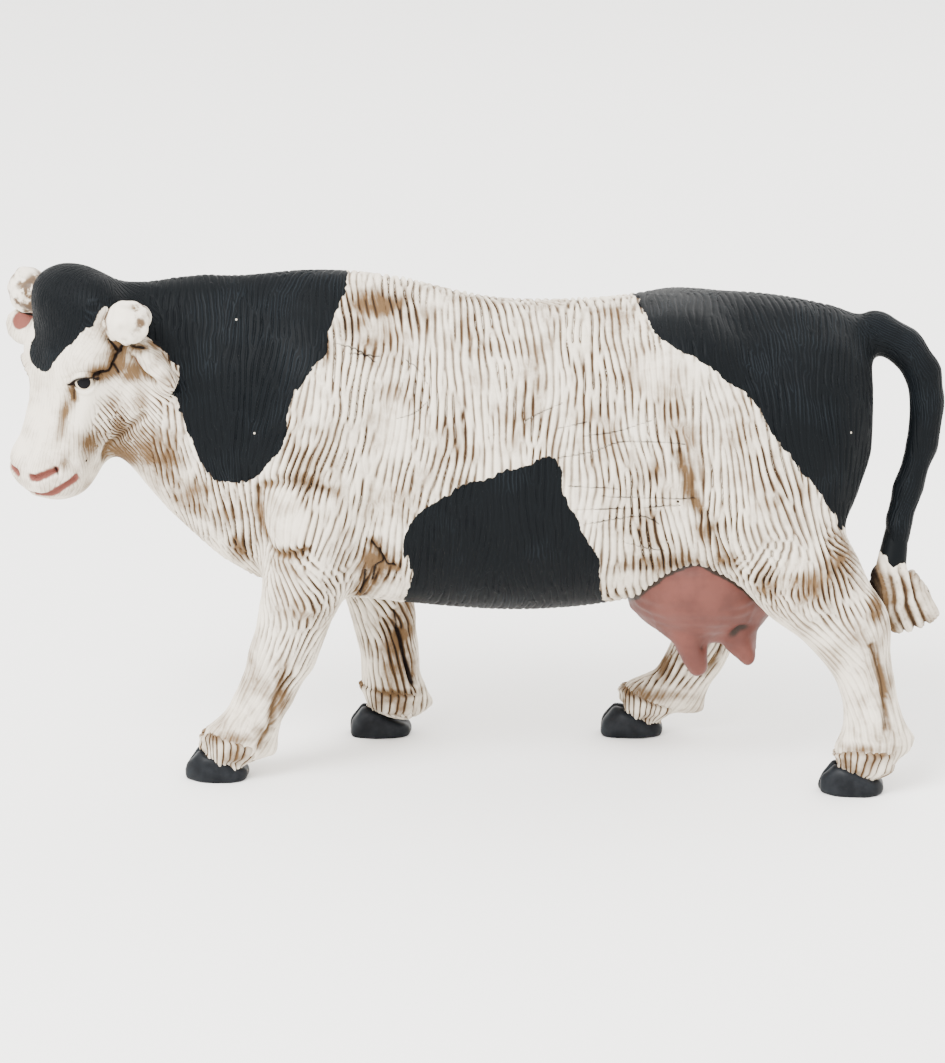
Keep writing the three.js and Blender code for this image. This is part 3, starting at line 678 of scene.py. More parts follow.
class Strokes:
    """Strokes of the tool strewn over a surface. About each one the grooves lie side by side along its own
    way, and where neighbouring strokes meet their grooves run on, fork or fade."""

    def __init__(self, places, normals, parts, ways):
        tree = tree_of(places)
        pick = np.random.default_rng(SEED)
        free = np.ones(len(places), bool)
        chosen = []
        for i in pick.permutation(len(places)):
            if free[i]:
                chosen.append(i)
                free[[n[1] for n in tree.find_range(places[i], STROKE_GAP)]] = False
        self.at = places[chosen]
        self.way = ways[chosen]
        self.across = np.cross(normals[chosen], ways[chosen])
        self.normal = normals[chosen]
        self.size = np.array([STROKES[kind_of(parts[i])] for i in chosen])
        self.turn = pick.uniform(0, 2 * math.pi, len(chosen))
        self.size *= pick.uniform((0.80, 0.60, 0.50), (1.22, 1.20, 1.25), (len(chosen), 3))
        self.tree = tree_of(self.at)

    def read(self, places):
        """At each point, the two parts of the wave that crosses the grooves, and the depth of a groove."""
        wave = np.zeros((len(places), 2))
        depth = np.zeros(len(places))
        farthest = self.size[:, 1].max() + 0.75 * CELL
        for group in grouped(places, CELL):
            here = places[group]
            found = [n[1] for n in self.tree.find_range(here.mean(0), farthest)]
            if not found:
                continue
            d = here[:, None] - self.at[found]
            axes = (self.way, self.across, self.normal)
            s, c, n = (np.einsum("ijk,jk->ij", d, axis[found]) for axis in axes)
            gap, run, cut = self.size[found].T
            away = (s / run) ** 2 + (c / (gap * STROKE_REACH)) ** 2 + (n / (gap * STROKE_THICK)) ** 2
            weight = np.clip(1 - away, 0, 1) ** 2
            total = np.sqrt((weight**2).sum(1)) + 1e-6
            turn = 2 * math.pi * c / gap + self.turn[found]
            wave[group, 0] = (weight * np.cos(turn)).sum(1) / total
            wave[group, 1] = (weight * np.sin(turn)).sum(1) / total
            depth[group] = (weight * cut).sum(1) / (weight.sum(1) + 1e-6)
        return wave, depth


def groove_of(wave):
    """How deep each point lies in a groove: 0 on a ridge and 1 at the bottom."""
    across = np.abs(np.arctan2(wave[:, 1], wave[:, 0])) / math.pi
    return np.clip((across - 0.50) / 0.42, 0, 1) * ramp(np.hypot(*wave.T), 0.20, 0.80)


# Places where the carving fades out: middle, radius and how much is left. Both sides are alike.
CALM = (
    ([17, 30, 67.4], [12, 5.8, 4], 0.3), ([18, -29, 44.8], [8, 3.8, 4.6], 0.06),
    ([10, -11.9, 31.4], [9, 5.4, 2.6], 0.15), ([17, -12.4, 59], [8, 2.6, 5.5], 0.45),
    ([18, 33, 52], [8, 2.6, 4], 0.5), ([12, 29, 33.6], [12, 9, 2.2], 0.5),
)


def carving_share(places, parts):
    """How much of the strokes' depth shows at each point of the coat."""
    share = np.ones(len(places))
    for middle, radius, left in CALM:
        share *= left + (1 - left) * ramp(radii_away(folded(places), middle, radius), 0.75, 1.15)
    y, z = places[:, 1:].T
    cannon = (parts == "hind_leg_left") * ramp(z, 31, 25) + (parts == "hind_leg_right") * ramp(z, 10, 8)
    share *= 1 - 0.72 * cannon
    shin = (parts == "front_leg_left") * ramp(y + 0.30 * (z - 22), -31.2, -33.4) * ramp(z, 38, 32)
    share *= 1 - 0.8 * shin
    return share * (0.62 + 0.38 * np.clip(waves(places, 11, 3) + 0.7, 0, 1.2))


# ---------------------------------------------------------------- markings
# Outlines of the black patches by their places along and up, on the left and on the right side.
NECK_LEFT = (
    (-22.2, 84), (-22.3, 72), (-24.6, 68.3), (-27.4, 64), (-28.6, 59.5), (-30.2, 55), (-33.4, 50.8),
    (-37.2, 49.2), (-41, 50), (-43.2, 53.8), (-44.6, 58), (-46.6, 63.4), (-53, 72), (-58, 84),
)
NECK_RIGHT = (
    (-22.6, 84), (-21.6, 74), (-23.6, 66), (-26, 60), (-27.6, 52), (-31, 45.6), (-36, 44.4), (-41, 48.4),
    (-44.6, 55), (-49, 61), (-56, 67), (-62, 84),
)
BELLY_LEFT = (
    (-10.9, 40), (-10.3, 43.2), (-7.4, 46.6), (-2, 50), (3.6, 52.3), (7.6, 53.4), (10.8, 55.1),
    (13.1, 53.8), (14.4, 49), (16.6, 44.3), (19.2, 39.2), (20, 33), (20, 20), (-9, 20), (-9.6, 35),
)
RUMP_LEFT = (
    (25.2, 84), (26.4, 76), (28, 73.8), (30.6, 71.6), (34, 70), (38.2, 67.2), (42, 64.6), (45.4, 59.8),
    (49, 54.6), (53.2, 49.8), (55.8, 45.4), (59.2, 41), (66, 39), (80, 50), (80, 84),
)
RUMP_RIGHT = (
    (25, 84), (25.8, 76), (24, 70.6), (25.2, 64), (30.4, 59.6), (36, 57.6), (41, 52), (47, 48.6),
    (53, 47.6), (58.6, 44), (66, 40), (80, 50), (80, 84),
)
FLANK_RIGHT = (
    (-12, 63.6), (-5.4, 66), (2, 63.4), (8.6, 57), (10, 49.6), (4.4, 44.4), (-4, 45.2), (-10.6, 50.6),
    (-13.4, 57.6),
)
BLACK_PATCHES = ((NECK_LEFT, BELLY_LEFT, RUMP_LEFT), (NECK_RIGHT, FLANK_RIGHT, RUMP_RIGHT))  # left and right
EAR_SHOWN = (  # the left ear as it hangs, by its places along and up
    (-53.4, 74.6), (-50, 74.4), (-47.6, 72.6), (-46.2, 70.1), (-45.6, 67.2), (-45.8, 65), (-47.6, 63.4),
    (-50.6, 64.8), (-54, 68), (-54.6, 71),
)
TAIL_BLACK_END = 34.3  # height at which the tail's black paint ends
# The patch on the forehead by its places left and down the face, seen from the front.
FOREHEAD = (
    (-8.6, -8), (-9, 1), (-8.2, 4.4), (-6.2, 7.4), (-4.6, 8.8), (-5, 10.4), (-2.9, 12.8), (-1.4, 13.3),
    (0.5, 13.6), (2.7, 11.7), (4.9, 8.4), (6.5, 5.8), (7.7, 3.5), (8, 1.1), (7.9, -0.4), (6.9, -1.9),
    (7.4, -4.2), (9.6, -6), (12, -8),
)


def black_paint(places, parts):
    """How far each point lies inside the black paint, in mm; negative on the white."""
    side = places[:, 1:]
    left, right = (np.max([inside_by(side, line) for line in lines], axis=0) for lines in BLACK_PATCHES)
    across = ramp(places[:, 0], -1.2, 1.2)
    body = left * across + right * (1 - across)
    q = on_head(places)
    brow = np.minimum(inside_by(q[:, :2], FOREHEAD), q[:, 2] + 9.5)
    tail = np.minimum(3.4 - route_distance(places, TAIL_ROUTE), places[:, 2] - TAIL_BLACK_END)
    black = np.max([body, brow, tail], axis=0)
    ear = (parts == "ear_right") | ((parts == "ear_left") & (inside_by(side, EAR_SHOWN) > 0))
    black[ear & (nape(places) < 0)] = NEVER
    return black


# Places where brown wash gathers: middle, radius and strength. Above the legs both sides are alike.
WASH = (
    ([5.5, -15, 76.6], [8, 6, 2], 1), ([8, -8, 75], [8, 5, 2.2], 0.7), ([10, -19, 73.6], [8, 4, 2.6], 0.65),
    ([12, -14.5, 71.5], [8, 4, 4], 0.6), ([0, 5, 76.5], [14, 18, 2.4], 0.45),
    ([16, 8, 61], [9, 10, 7], 0.4), ([17, -27, 51], [8, 4.5, 2], 0.85),
    ([15, -33.4, 45.6], [8, 1.6, 3], 0.85), ([18, -28.6, 39.6], [8, 4.2, 1.5], 0.8),
    ([19, -21.5, 49.5], [8, 1.6, 1.8], 0.7), ([9, -36.6, 37.5], [9, 2.4, 3.2], 0.8),
    ([11, -39, 43], [9, 3.5, 4], 0.55), ([14, -15, 37], [9, 3.6, 4.4], 1),
    ([11, -17.5, 32], [8, 2.6, 3], 0.8), ([10, -48.8, 53.2], [12, 5.5, 6.5], 0.85),
    ([8, -54.8, 53], [8, 3.6, 3.6], 0.9), ([10, -44, 46.5], [12, 5.5, 5.5], 0.65),
    ([17, 33.4, 50.4], [8, 1.4, 3], 1), ([18, 28.3, 53], [8, 1.5, 3], 0.7),
    ([18, 32, 58], [8, 3, 4.5], 0.4), ([17, 36.4, 43], [8, 2.4, 4], 0.8),
    ([17, 39.6, 38.2], [8, 2.6, 2.4], 0.9), ([12, 30, 37], [14, 9, 2.6], 0.75),
    ([16, 26, 65.2], [8, 6, 2], 0.35), ([18, 57, 38], [9, 3.4, 5.4], 0.85),
    ([19, 46, 35], [9, 3.6, 3.6], 0.7), ([20, 52.4, 34.5], [9, 5, 3.4], 0.8),
    ([18.5, 50, 43], [9, 7, 6], 0.4), ([17.5, 63, 30.6], [8, 1.8, 3.4], 0.95),
    ([17, 8, 46], [9, 9, 6], 0.3), ([0, 0, 25.6], [18, 60, 3.4], 0.4),
)
LEG_WASH = (
    ([14, -30, 16], [5, 1.7, 6], 0.9), ([13, -33.4, 8], [5, 2, 3.4], 0.8),
    ([12.5, -38, 7.6], [6, 4.6, 1.4], 0.8), ([-9, -12.2, 16.5], [5, 3.8, 9], 1),
    ([-10, -13, 8], [7, 6, 1.3], 1), ([-9, -11, 24], [6, 3, 4], 0.8), ([-11.5, 31, 13], [6, 2.6, 5], 1),
    ([-11, 30, 7.6], [7, 7, 1.6], 0.9), ([-12, 35, 17], [6, 2, 8], 0.55),
    ([18.5, 65.4, 16], [5, 1.6, 8], 0.6), ([18.5, 61.5, 8], [7, 5, 1.1], 0.8),
    ([13, 59, 22], [9, 5, 6], 0.4), ([18, 60.5, 14], [6, 2.6, 5], 0.45),
    ([14.8, -28, 27], [5, 3.4, 6], 0.35),
)
HEAD_WASH = (
    ([10, 8.8, -5], [2.4, 3, 2.4], 1), ([8.7, 5.4, -2.4], [1.3, 1.8, 1.5], 0.9),
    ([11.3, 10.6, -6.6], [1.6, 1.6, 1.8], 0.85), ([12.8, 5, -8.4], [2.8, 2.4, 2.2], 0.9),
    ([15.4, 6.6, -10], [2.2, 2.4, 1.6], 0.85), ([5, 19, -1], [1.1, 5, 1.1], 0.95),
    ([6.8, 22.8, -6.4], [2.6, 3.6, 3], 1.05), ([9.2, 18.7, -8.9], [2.6, 3.2, 2.6], 0.9),
    ([12.3, 14.1, -8.9], [2.6, 3.4, 2.6], 0.65), ([6.6, 27, -2.2], [0.9, 1.6, 1.2], 0.75),
    ([10.4, 6.4, -5], [3.6, 4, 3.6], 1), ([11.6, 9, -7], [3, 2.8, 3], 1), ([8, 3.4, -2], [1.8, 3, 2], 0.6),
    ([6.2, 15.4, -0.4], [1, 1.9, 1.1], 0.95), ([5.6, 18.6, -1.2], [1.3, 4.4, 1.3], 0.55),
    ([9, 16.4, -8], [4, 5, 3.5], 0.6), ([7.6, 22, -8], [3.4, 6, 3.4], 0.6),
    ([10.6, 19, -12], [5, 6, 4], 0.8), ([5.2, 30.6, -7], [3.4, 2.6, 3], 0.5),
    ([12.6, 4.4, -4.4], [3, 1.8, 3], 1), ([15.6, 6.4, -8.6], [1.8, 3.4, 3], 0.6),
    ([6, 24.6, -2.6], [1.4, 2.6, 1.6], 0.4),
)


def gathered(places, marks):
    """The strongest of some soft patches at each point."""
    total = np.zeros(len(places))
    for middle, radius, strength in marks:
        total = np.maximum(total, strength * np.exp(-(radii_away(places, middle, radius) ** 2)))
    return total


def wash_paint(places):
    """How much brown wash lies at each point, from 0 to 1."""
    total = np.maximum(1.1 * gathered(folded(places), WASH), 0.31 + 0.13 * waves(places, 14, 81))
    total = np.maximum(total, gathered(places, LEG_WASH))
    q = on_head(places)
    face = ramp(q[:, 1], 30, 26) * ramp(q[:, 2], -10, -6) * ramp(np.linalg.norm(q, axis=1), 40, 34)
    total *= 1 - 0.5 * face
    return np.clip(np.maximum(total, gathered(folded(q), HEAD_WASH)), 0, 1)


# ---------------------------------------------------------------- the body's two surfaces
class Body:
    """The whole of the flesh in even faces, with what the skin and the coat share. It is made once."""

    made = None

    def __init__(self):
        self.finder = PartFinder()
        self.base = self.block(VOXEL)
        places, normals = places_of(self.base)[::2], normals_of(self.base)[::2]
        parts = self.finder(places)
        self.strokes = Strokes(places, normals, parts, combed(places, normals, parts))

    @classmethod
    def get(cls):
        if cls.made is None:
            cls.made = cls()
        return cls.made

    def block(self, voxel):
        """The flesh in one closed form, smoothed as much as each part bears."""
        ears = {"ear_left": from_head([6.5, 5.5, -5.5]), "ear_right": from_head([-6.0, 6.5, -6.0])}
        mesh = blocked_in(FLESH + ("eye_left", "eye_right"), voxel, toward=ears)
        places = places_of(mesh)
        edges = edges_of(mesh)
        radius = np.array([SMOOTHING[kind_of(p)] for p in self.finder(places)])
        turns = 26
        share = np.clip(2 * (radius / voxel) ** 2 / turns, 0, 0.9)
        share = relaxed(share, edges, np.full(len(share), 0.8), 14)
        put_places(mesh, relaxed(places, edges, share, turns))
        return mesh


def nape(places):
    """How far each point lies behind the line where the carved coat begins, in mm."""
    q = on_head(places)
    return (q - NAPE_AT) @ NAPE_AXIS + 0.5 * waves(places, 3.2, 21)


BLACK_CARVING = 0.28  # how much of the strokes' depth is left under the black paint


def dressed(mesh, coat):
    """Sculpts and carves the coat or the skin, and gives it what the paint reads. Each of the two sinks under
    the other where the other shows."""
    places = places_of(mesh)
    beyond = nape(places)
    parts = Body.get().finder(places)
    black = black_paint(places, parts)
    if coat:
        carving = carving_share(places, parts) * ramp(beyond, 0.0, 1.0)
        sunk = COAT_DEPTH * (1 - ramp(beyond, -0.9, 0.0))
    else:
        carving = head_carving(places, black) * (1 - ramp(beyond, 0.0, 1.0))
        sunk = COAT_DEPTH * ramp(beyond, 0.0, 0.9)
    relief = Relief(places)
    sculpt_head(relief)
    sculpt_body(relief)
    wave, depth = Body.get().strokes.read(places)
    share = carving * (1 - (1 - BLACK_CARVING) * ramp(black, -0.3, 0.3))
    relief.out += share * depth * (0.22 * wave[:, 0] - 0.95 * groove_of(wave))
    push_out(mesh, relief.out - sunk)
    with_numbers(
        mesh, black=black, wash=np.clip(np.maximum(wash_paint(places), relief.paint["stain"]), 0, 1),
        line=relief.paint["dark"], rosy=relief.paint["pink"], carving=carving,
        wave=np.column_stack([wave, np.zeros(len(wave))]),
    )
    unroll(mesh, parts)
    return mesh


def head_carving(places, black):
    """How much of the strokes shows on the head: on the brow's black patch, cheek, ears and poll."""
    q = on_head(places)
    patch = ramp(black, -0.3, 0.6)
    cheek = bell((q[:, 1] - 18.5) / 4.5, 1) * bell((np.abs(q[:, 0]) - 8.5) / 3.2, 1) * ramp(-q[:, 2], 3, 6)
    back = ramp(-q[:, 2], 8.0, 11.0) * ramp(-q[:, 1], -19, -14)
    ear = ramp(np.abs(q[:, 0]), 11.5, 12.5) * (0.12 + 0.5 * ramp(-q[:, 2], 8.0, 10.5))
    return np.clip(np.max([patch, 1.15 * cheek, 0.9 * back, ear], axis=0), 0, 1)


def finished(name, mesh, material, slot, nodes=()):
    """A piece of the cow, which rides on the one body and stands for some nodes of the frame."""
    mesh.name = name
    obj = placed(name, mesh)
    mesh.materials.clear()
    mesh.materials.append(material)
    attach(obj, "root")
    if nodes:
        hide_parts(*nodes)


def near_head(places):
    """From the face to a little behind the line where the coat begins."""
    q = on_head(places)
    return ((q - NAPE_AT) @ NAPE_AXIS < 2.5) & (q[:, 1] < HEAD_REACH - 2)


def near_face_detail(places):
    """Round the eyes, the brow creases, the nostrils and the mouth."""
    q = folded(on_head(places))
    eye = np.linalg.norm(q - [7.7, 13.4, -1.4], axis=1) < 3.6
    brow = np.linalg.norm(q - [9.3, 9.0, -4.0], axis=1) < 3.4
    mouth = (q[:, 1] > 26.4) & (q[:, 2] > -7.0)
    return eye | brow | mouth


def make_skin_mesh():
    """The one skin, finer on the head, where it shows."""
    mesh = Body.get().base.copy()
    halved(mesh, near_head)
    halved(mesh, near_face_detail)
    places = places_of(mesh)
    put_places(mesh, relaxed(places, edges_of(mesh), 0.6 * near_head(places), 4))
    return dressed(mesh, coat=False)


def make_coat_mesh():
    return dressed(modified(Body.get().base, "SUBSURF", levels=1, render_levels=1), coat=True)


COAT_PIECES = (
    "coat_neck", "coat_shoulders", "coat_barrel", "coat_flanks", "coat_rump",
    "coat_front_legs", "coat_hind_legs", "coat_tail",
)
NECK_CUT_TOP = (-31.2, 80.7)  # along and up
NECK_CUT_SLOPE = -0.235
BODY_CUTS = (-9, 18, 43)  # along, behind the shoulders, the barrel and the flanks
LEG_CUT = 25.5  # height
FRONT_LEGS_END = 2  # along
TAIL_CUT = 64.0  # along
RIM_DEPTH = 0.7  # mm that the edge of a piece turns in under the surface


def coat_regions(places):
    """Which piece of the coat each point belongs to: a number into COAT_PIECES, or -1 on the head."""
    y, z = places[:, 1:].T
    front_of_shoulder = y < NECK_CUT_TOP[0] + (NECK_CUT_TOP[1] - z) * NECK_CUT_SLOPE
    region = np.select([front_of_shoulder, *(y < cut for cut in BODY_CUTS)], range(4), 4)
    region[(z < LEG_CUT) & (y < FRONT_LEGS_END)] = 5
    region[(z < LEG_CUT) & (y >= FRONT_LEGS_END)] = 6
    region[(route_distance(places, TAIL_ROUTE) < 3.8) & (y > TAIL_CUT) & (z > 30)] = 7
    region[nape(places) < -1.0] = -1
    return region


def cut_out(mesh, faces):
    """Some of a mesh's faces as a mesh of their own, closed with a cap over each cut."""
    piece = bmesh.new()
    piece.from_mesh(mesh)
    piece.faces.ensure_lookup_table()
    others = [f for f, keep in zip(piece.faces, faces) if not keep]
    bmesh.ops.delete(piece, geom=others, context="FACES")
    for v in list(piece.verts):
        ends = [e for e in v.link_edges if e.is_boundary]
        if len(ends) > 2:
            bmesh.utils.vert_separate(v, ends)
    rim = [e for e in piece.edges if e.is_boundary]
    for e in rim:
        e.smooth = False
    piece.normal_update()
    outward = {v.co.to_tuple(6): v.normal.copy() for v in piece.verts if v.is_boundary}
    turned = bmesh.ops.extrude_edge_only(piece, edges=rim)["geom"]
    rim = [e for e in turned if isinstance(e, bmesh.types.BMEdge)]
    for v in {v for e in rim for v in e.verts}:
        v.co -= outward[v.co.to_tuple(6)] * RIM_DEPTH * MM
    caps = bmesh.ops.holes_fill(piece, edges=rim, sides=0)["faces"]
    bmesh.ops.triangulate(piece, faces=caps)
    return as_mesh(piece, "cut")


# ---------------------------------------------------------------- the bake map
# Each part of the body is rolled out flat in a rectangle of its own: its left, bottom, width and height.
CHARTS = {
    "trunk": (0.01, 0.01, 0.60, 0.60), "neck": (0.63, 0.01, 0.17, 0.60), "head": (0.82, 0.01, 0.17, 0.60),
    "front_leg_left": (0.01, 0.63, 0.17, 0.36), "front_leg_right": (0.20, 0.63, 0.17, 0.36),
    "hind_leg_left": (0.39, 0.63, 0.17, 0.36), "hind_leg_right": (0.58, 0.63, 0.17, 0.36),
    "tail": (0.77, 0.63, 0.06, 0.20), "tail_switch": (0.77, 0.85, 0.06, 0.14),
    "ear_left": (0.85, 0.63, 0.14, 0.17), "ear_right": (0.85, 0.82, 0.14, 0.17),
}
LEG_SLOPES = {"front_leg_left": 0.25, "hind_leg_left": -0.3}  # how far a leg leans back for each mm up


def rolled(part, places):
    """Each point's place along a part's middle line, from 0 to 1, and its turn round that line."""
    if part in ("tail", "tail_switch"):
        route = rounded(TAIL_ROUTE if part == "tail" else SWITCH_ROUTE, closed=False)
        along = along_route(places, route)[1] / (len(route) - 1)
        middle = np.array([np.interp(along, np.linspace(0, 1, len(route)), column) for column in route.T]).T
        d = places - middle
        return along, np.arctan2(d[:, 0], d[:, 1] + 0.5 * d[:, 2])
    if part in ("head", "ear_left", "ear_right"):
        q = on_head(places)
        if part == "head":
            return np.clip((q[:, 1] + 6) / 42, 0, 1), np.arctan2(q[:, 0], q[:, 2] + 6)
        side = 1 if part == "ear_left" else -1
        return np.clip((side * q[:, 0] - 5) / 20, 0, 1), np.arctan2(q[:, 1] - 8, q[:, 2] + 7)
    x, y, z = places.T
    if "leg" in part:
        lo, hi = (np.array(v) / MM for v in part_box(part))
        middle = (lo + hi) / 2
        lean = (z - middle[2]) * LEG_SLOPES.get(part, 0.0)
        return np.clip(z / (hi[2] + 2), 0, 1), np.arctan2(x - middle[0], -(y - middle[1] - lean))
    start, end, axis = (-37, 66, 52) if part == "trunk" else (-62, -30, 62)
    return np.clip((y - start) / (end - start), 0, 1), np.arctan2(x, z - axis)


def unroll(mesh, parts):
    """Adds the bake map: the place of each face's corners on the body's own unrolled shape."""
    loops = numbers_of(mesh.loops, "vertex_index", 1, np.int32)[:, 0]
    totals = numbers_of(mesh.polygons, "loop_total", 1, np.int32)[:, 0]
    faces = np.repeat(np.arange(len(totals)), totals)
    first = np.concatenate([[0], np.cumsum(totals)[:-1]])
    part_of_loop = parts[loops[first]][faces]
    places = places_of(mesh)
    uv = np.zeros((len(loops), 2))
    for part, (left, bottom, width, height) in CHARTS.items():
        here = np.flatnonzero(part_of_loop == part)
        if not len(here):
            continue
        along, angle = rolled(part, places[loops[here]])
        start = angle[np.searchsorted(here, first[faces[here]])]
        angle = angle + 2 * math.pi * np.round((start - angle) / (2 * math.pi))
        uv[here, 0] = left + width * along
        uv[here, 1] = bottom + height * np.clip(angle / (2.3 * math.pi) + 0.5, 0, 1)
    layer = mesh.uv_layers.new(name="OFBake")
    layer.data.foreach_set("uv", uv.astype(np.float32).ravel())


# ---------------------------------------------------------------- pieces of their own
def node_block(name, voxel, grow, radius, extra=()):
    """A node grown a little, with other forms, in even faces, and smoothed."""
    mesh = blocked_in([name], voxel, grow=grow, extra=extra)
    turns = 12
    share = min(2 * (radius / voxel) ** 2 / turns, 0.9)
    places = places_of(mesh)
    put_places(mesh, relaxed(places, edges_of(mesh), np.full(len(places), share), turns))
    return mesh


def egg(middle, half):
    """An oval solid."""
    form = bmesh.new()
    bmesh.ops.create_uvsphere(form, u_segments=32, v_segments=20, radius=1)
    bmesh.ops.scale(form, vec=Vector(half) * MM, verts=form.verts)
    bmesh.ops.translate(form, verts=form.verts, vec=Vector(middle) * MM)
    return form


def finger(root, tip, thick, thin):
    """A round-ended solid that tapers from its root to its tip."""
    form = bmesh.new()
    root, tip = Vector(root), Vector(tip)
    way = tip - root
    turn = way.to_track_quat("Z", "Y").to_matrix().to_4x4()
    bmesh.ops.create_cone(
        form, cap_ends=True, segments=24, radius1=thick * MM, radius2=thin * MM, depth=way.length * MM,
        matrix=Matrix.Translation((root + tip) / 2 * MM) @ turn,
    )
    for end, radius in ((root, thick), (tip, thin)):
        place = Matrix.Translation(end * MM)
        bmesh.ops.create_icosphere(form, subdivisions=3, radius=radius * MM, matrix=place)
    return form


def dressed_plain(mesh, part, groove, wash, **paints):
    """Gives a piece that the coat's strokes don't cross what the hide's paint reads, and its bake map."""
    count = len(mesh.vertices)
    turn = np.clip(groove, 0, 1) * math.pi
    never = np.full(count, NEVER)
    numbers = {"black": never, "line": np.zeros(count), "rosy": never, "carving": np.ones(count), **paints}
    wave = np.stack([np.cos(turn), np.sin(turn), np.zeros(count)], 1)
    with_numbers(mesh, wave=wave, wash=np.clip(wash, 0, 1), **numbers)
    unroll(mesh, np.full(count, part))
    return mesh


SWITCH_ROUTE = ((6.2, 67.3, 41.5), (7.5, 66.4, 37.0), (8.3, 66.2, 33.6), (8.8, 67.8, 29.6), (9.3, 70.2, 25.0))
SWITCH_FLOWS = np.array([[0.50, -0.87], [0.87, 0.50]])  # the way that its hair flows, and the way across
SWITCH_FOLD = np.array([[67.4, 36.0], [67.6, 33.4], [68.1, 29.3], [69.8, 26.0], [71.0, 23.0]])  # middle fold


def make_switch_mesh():
    """The hair at the tail's end: a brush that flares from the tail, with a few deep flowing folds."""
    sleeve = finger((6.3, 67.3, 41.0), (8.1, 66.2, 34.6), 1.75, 2.35)
    mesh = node_block("tail_switch", 0.28, 0.25, 0.5, extra=[sleeve])
    places = places_of(mesh)
    down, across = SWITCH_FLOWS @ places[:, 1:].T
    fold_down, fold_across = SWITCH_FLOWS @ SWITCH_FOLD.T
    away = across - np.interp(down, fold_down, fold_across) + 0.3 * waves(places, 6, 31)
    fold = np.max([bell(away, 0.42), 0.9 * bell(away - 1.75, 0.36), 0.8 * bell(away + 1.9, 0.36)], axis=0)
    strand = 1 - ramp(np.abs(np.sin(math.pi * away / 0.8 + 1.1 * waves(places, 5, 32))), 0.0, 0.6)
    hair = ramp(places[:, 2], 36.4, 33.6)
    push_out(mesh, 0.1 - hair * (0.85 * fold + 0.2 * strand))
    # painted shade where the switch lies against the hock: brown, and a dark line along that side
    hock_side_shade = ramp(away, -1.9, -3.6) * ramp(places[:, 2], 38.0, 35.0)
    wash = 0.22 + 0.4 * fold + 0.75 * hock_side_shade + 0.25 * ramp(away, 1.6, 3.2)
    groove = np.maximum(0.5 + 0.38 * fold, 0.5 + 0.14 * strand) * hair
    ragged = 0.5 * waves(places, 1.5, 33) + 0.4 * waves(places, 3.0, 34)
    black = places[:, 2] - TAIL_BLACK_END - 0.9 * np.abs(places[:, 1] - 67.0) - ragged
    # the first dark line is painted shade beside the hock; the second runs along the middle fold
    line = np.maximum(0.9 * ramp(away, -3.2, -4.2) * hair, 0.55 * bell(away, 0.16) * hair)
    return dressed_plain(mesh, "tail_switch", groove, wash, black=black, line=line)


UDDER_BAG = ((0, 36.6, 32.2), (14.4, 12.9, 11.4))  # middle and half sizes
TEATS = (  # root, tip, and the two thicknesses, on the left
    ((6.8, 34.2, 23.2), (7.4, 35.9, 17.9), 2.9, 1.85),
    ((6.6, 41.6, 24.4), (7.3, 43.8, 19.3), 2.3, 1.5),
)
UDDER_CREASE = ((9.0, 37.0, 21.2), (9.0, 40.0, 22.0), (9.2, 42.4, 24.6), (9.0, 45.4, 24.4))


def make_udder_mesh():
    """A full bag with four blunt teats."""
    forms = [egg(*UDDER_BAG)]
    for root, tip, thick, thin in TEATS:
        for side in (1, -1):
            forms.append(finger((root[0] * side, *root[1:]), (tip[0] * side, *tip[1:]), thick, thin))
    mesh = node_block("udder", 0.42, 0.3, 0.75, extra=forms)
    places = places_of(mesh)
    crease = bell(route_distance(folded(places), UDDER_CREASE), 0.7)
    wrinkle = np.sin(places[:, 2] * 3.2 + 1.6 * waves(places, 7, 41)) * (0.5 + 0.5 * waves(places, 9, 42))
    veins = bell(np.abs(waves(places, 12, 43)), 0.12)
    push_out(mesh, 0.07 * wrinkle + 0.08 * veins - 0.55 * crease)
    # the shade number: painted shade in the crease between the halves and along the edge where the udder
    # meets the body
    edge = near_nodes(places_of(mesh), ("trunk", "hind_leg_left", "hind_leg_right"))
    return with_numbers(mesh, shade=np.clip(np.maximum(1.1 * crease, 1.6 * bell(edge - 0.25, 0.36)), 0, 1))


def near_nodes(places, names):
    """Each point's distance from the nearest of some nodes, in mm."""
    trees = [surface_tree(name) for name in names]
    return np.min([[tree.find_nearest(Vector(p) * MM)[3] / MM for p in places] for tree in trees], axis=0)


def make_horn_mesh(side):
    """A short horn that ends in a blunt, lumpy knob."""
    mesh = node_block(f"horn_{side}", 0.26, 0.12, 0.42)
    places, normals = places_of(mesh), normals_of(mesh)
    q = folded(on_head(places))
    lumps = 0.26 * waves(places, 4.0, 51) + 0.13 * waves(places, 1.9, 52)
    bump_on_top = 0.6 * bell(np.linalg.norm(q - [14.2, -0.6, 0.4], axis=1), 1.5)
    neck = ramp(q[:, 0], 11.6, 9.6)
    push_out(mesh, lumps + bump_on_top - 0.55 * neck)
    # the shade number: painted shade where the knob turns away from the way the forehead faces, mottled by
    # brown in the pits; painted shade round the root where the horn meets the head; and a brown mottle over
    # the whole far horn
    edge = ramp(np.abs(normals @ HEAD_AXES[:, 2]), 0.9, 0.3)
    pits = 0.45 + 0.55 * waves(places, 3.4, 53)
    ring = ramp(q[:, 0], 13.2, 11.2)
    far = 0.6 * pits + 0.1 if side == "right" else np.zeros(len(q))
    return with_numbers(mesh, shade=np.clip(np.max([0.8 * edge * pits, 0.8 * ring, neck, far], axis=0), 0, 1))


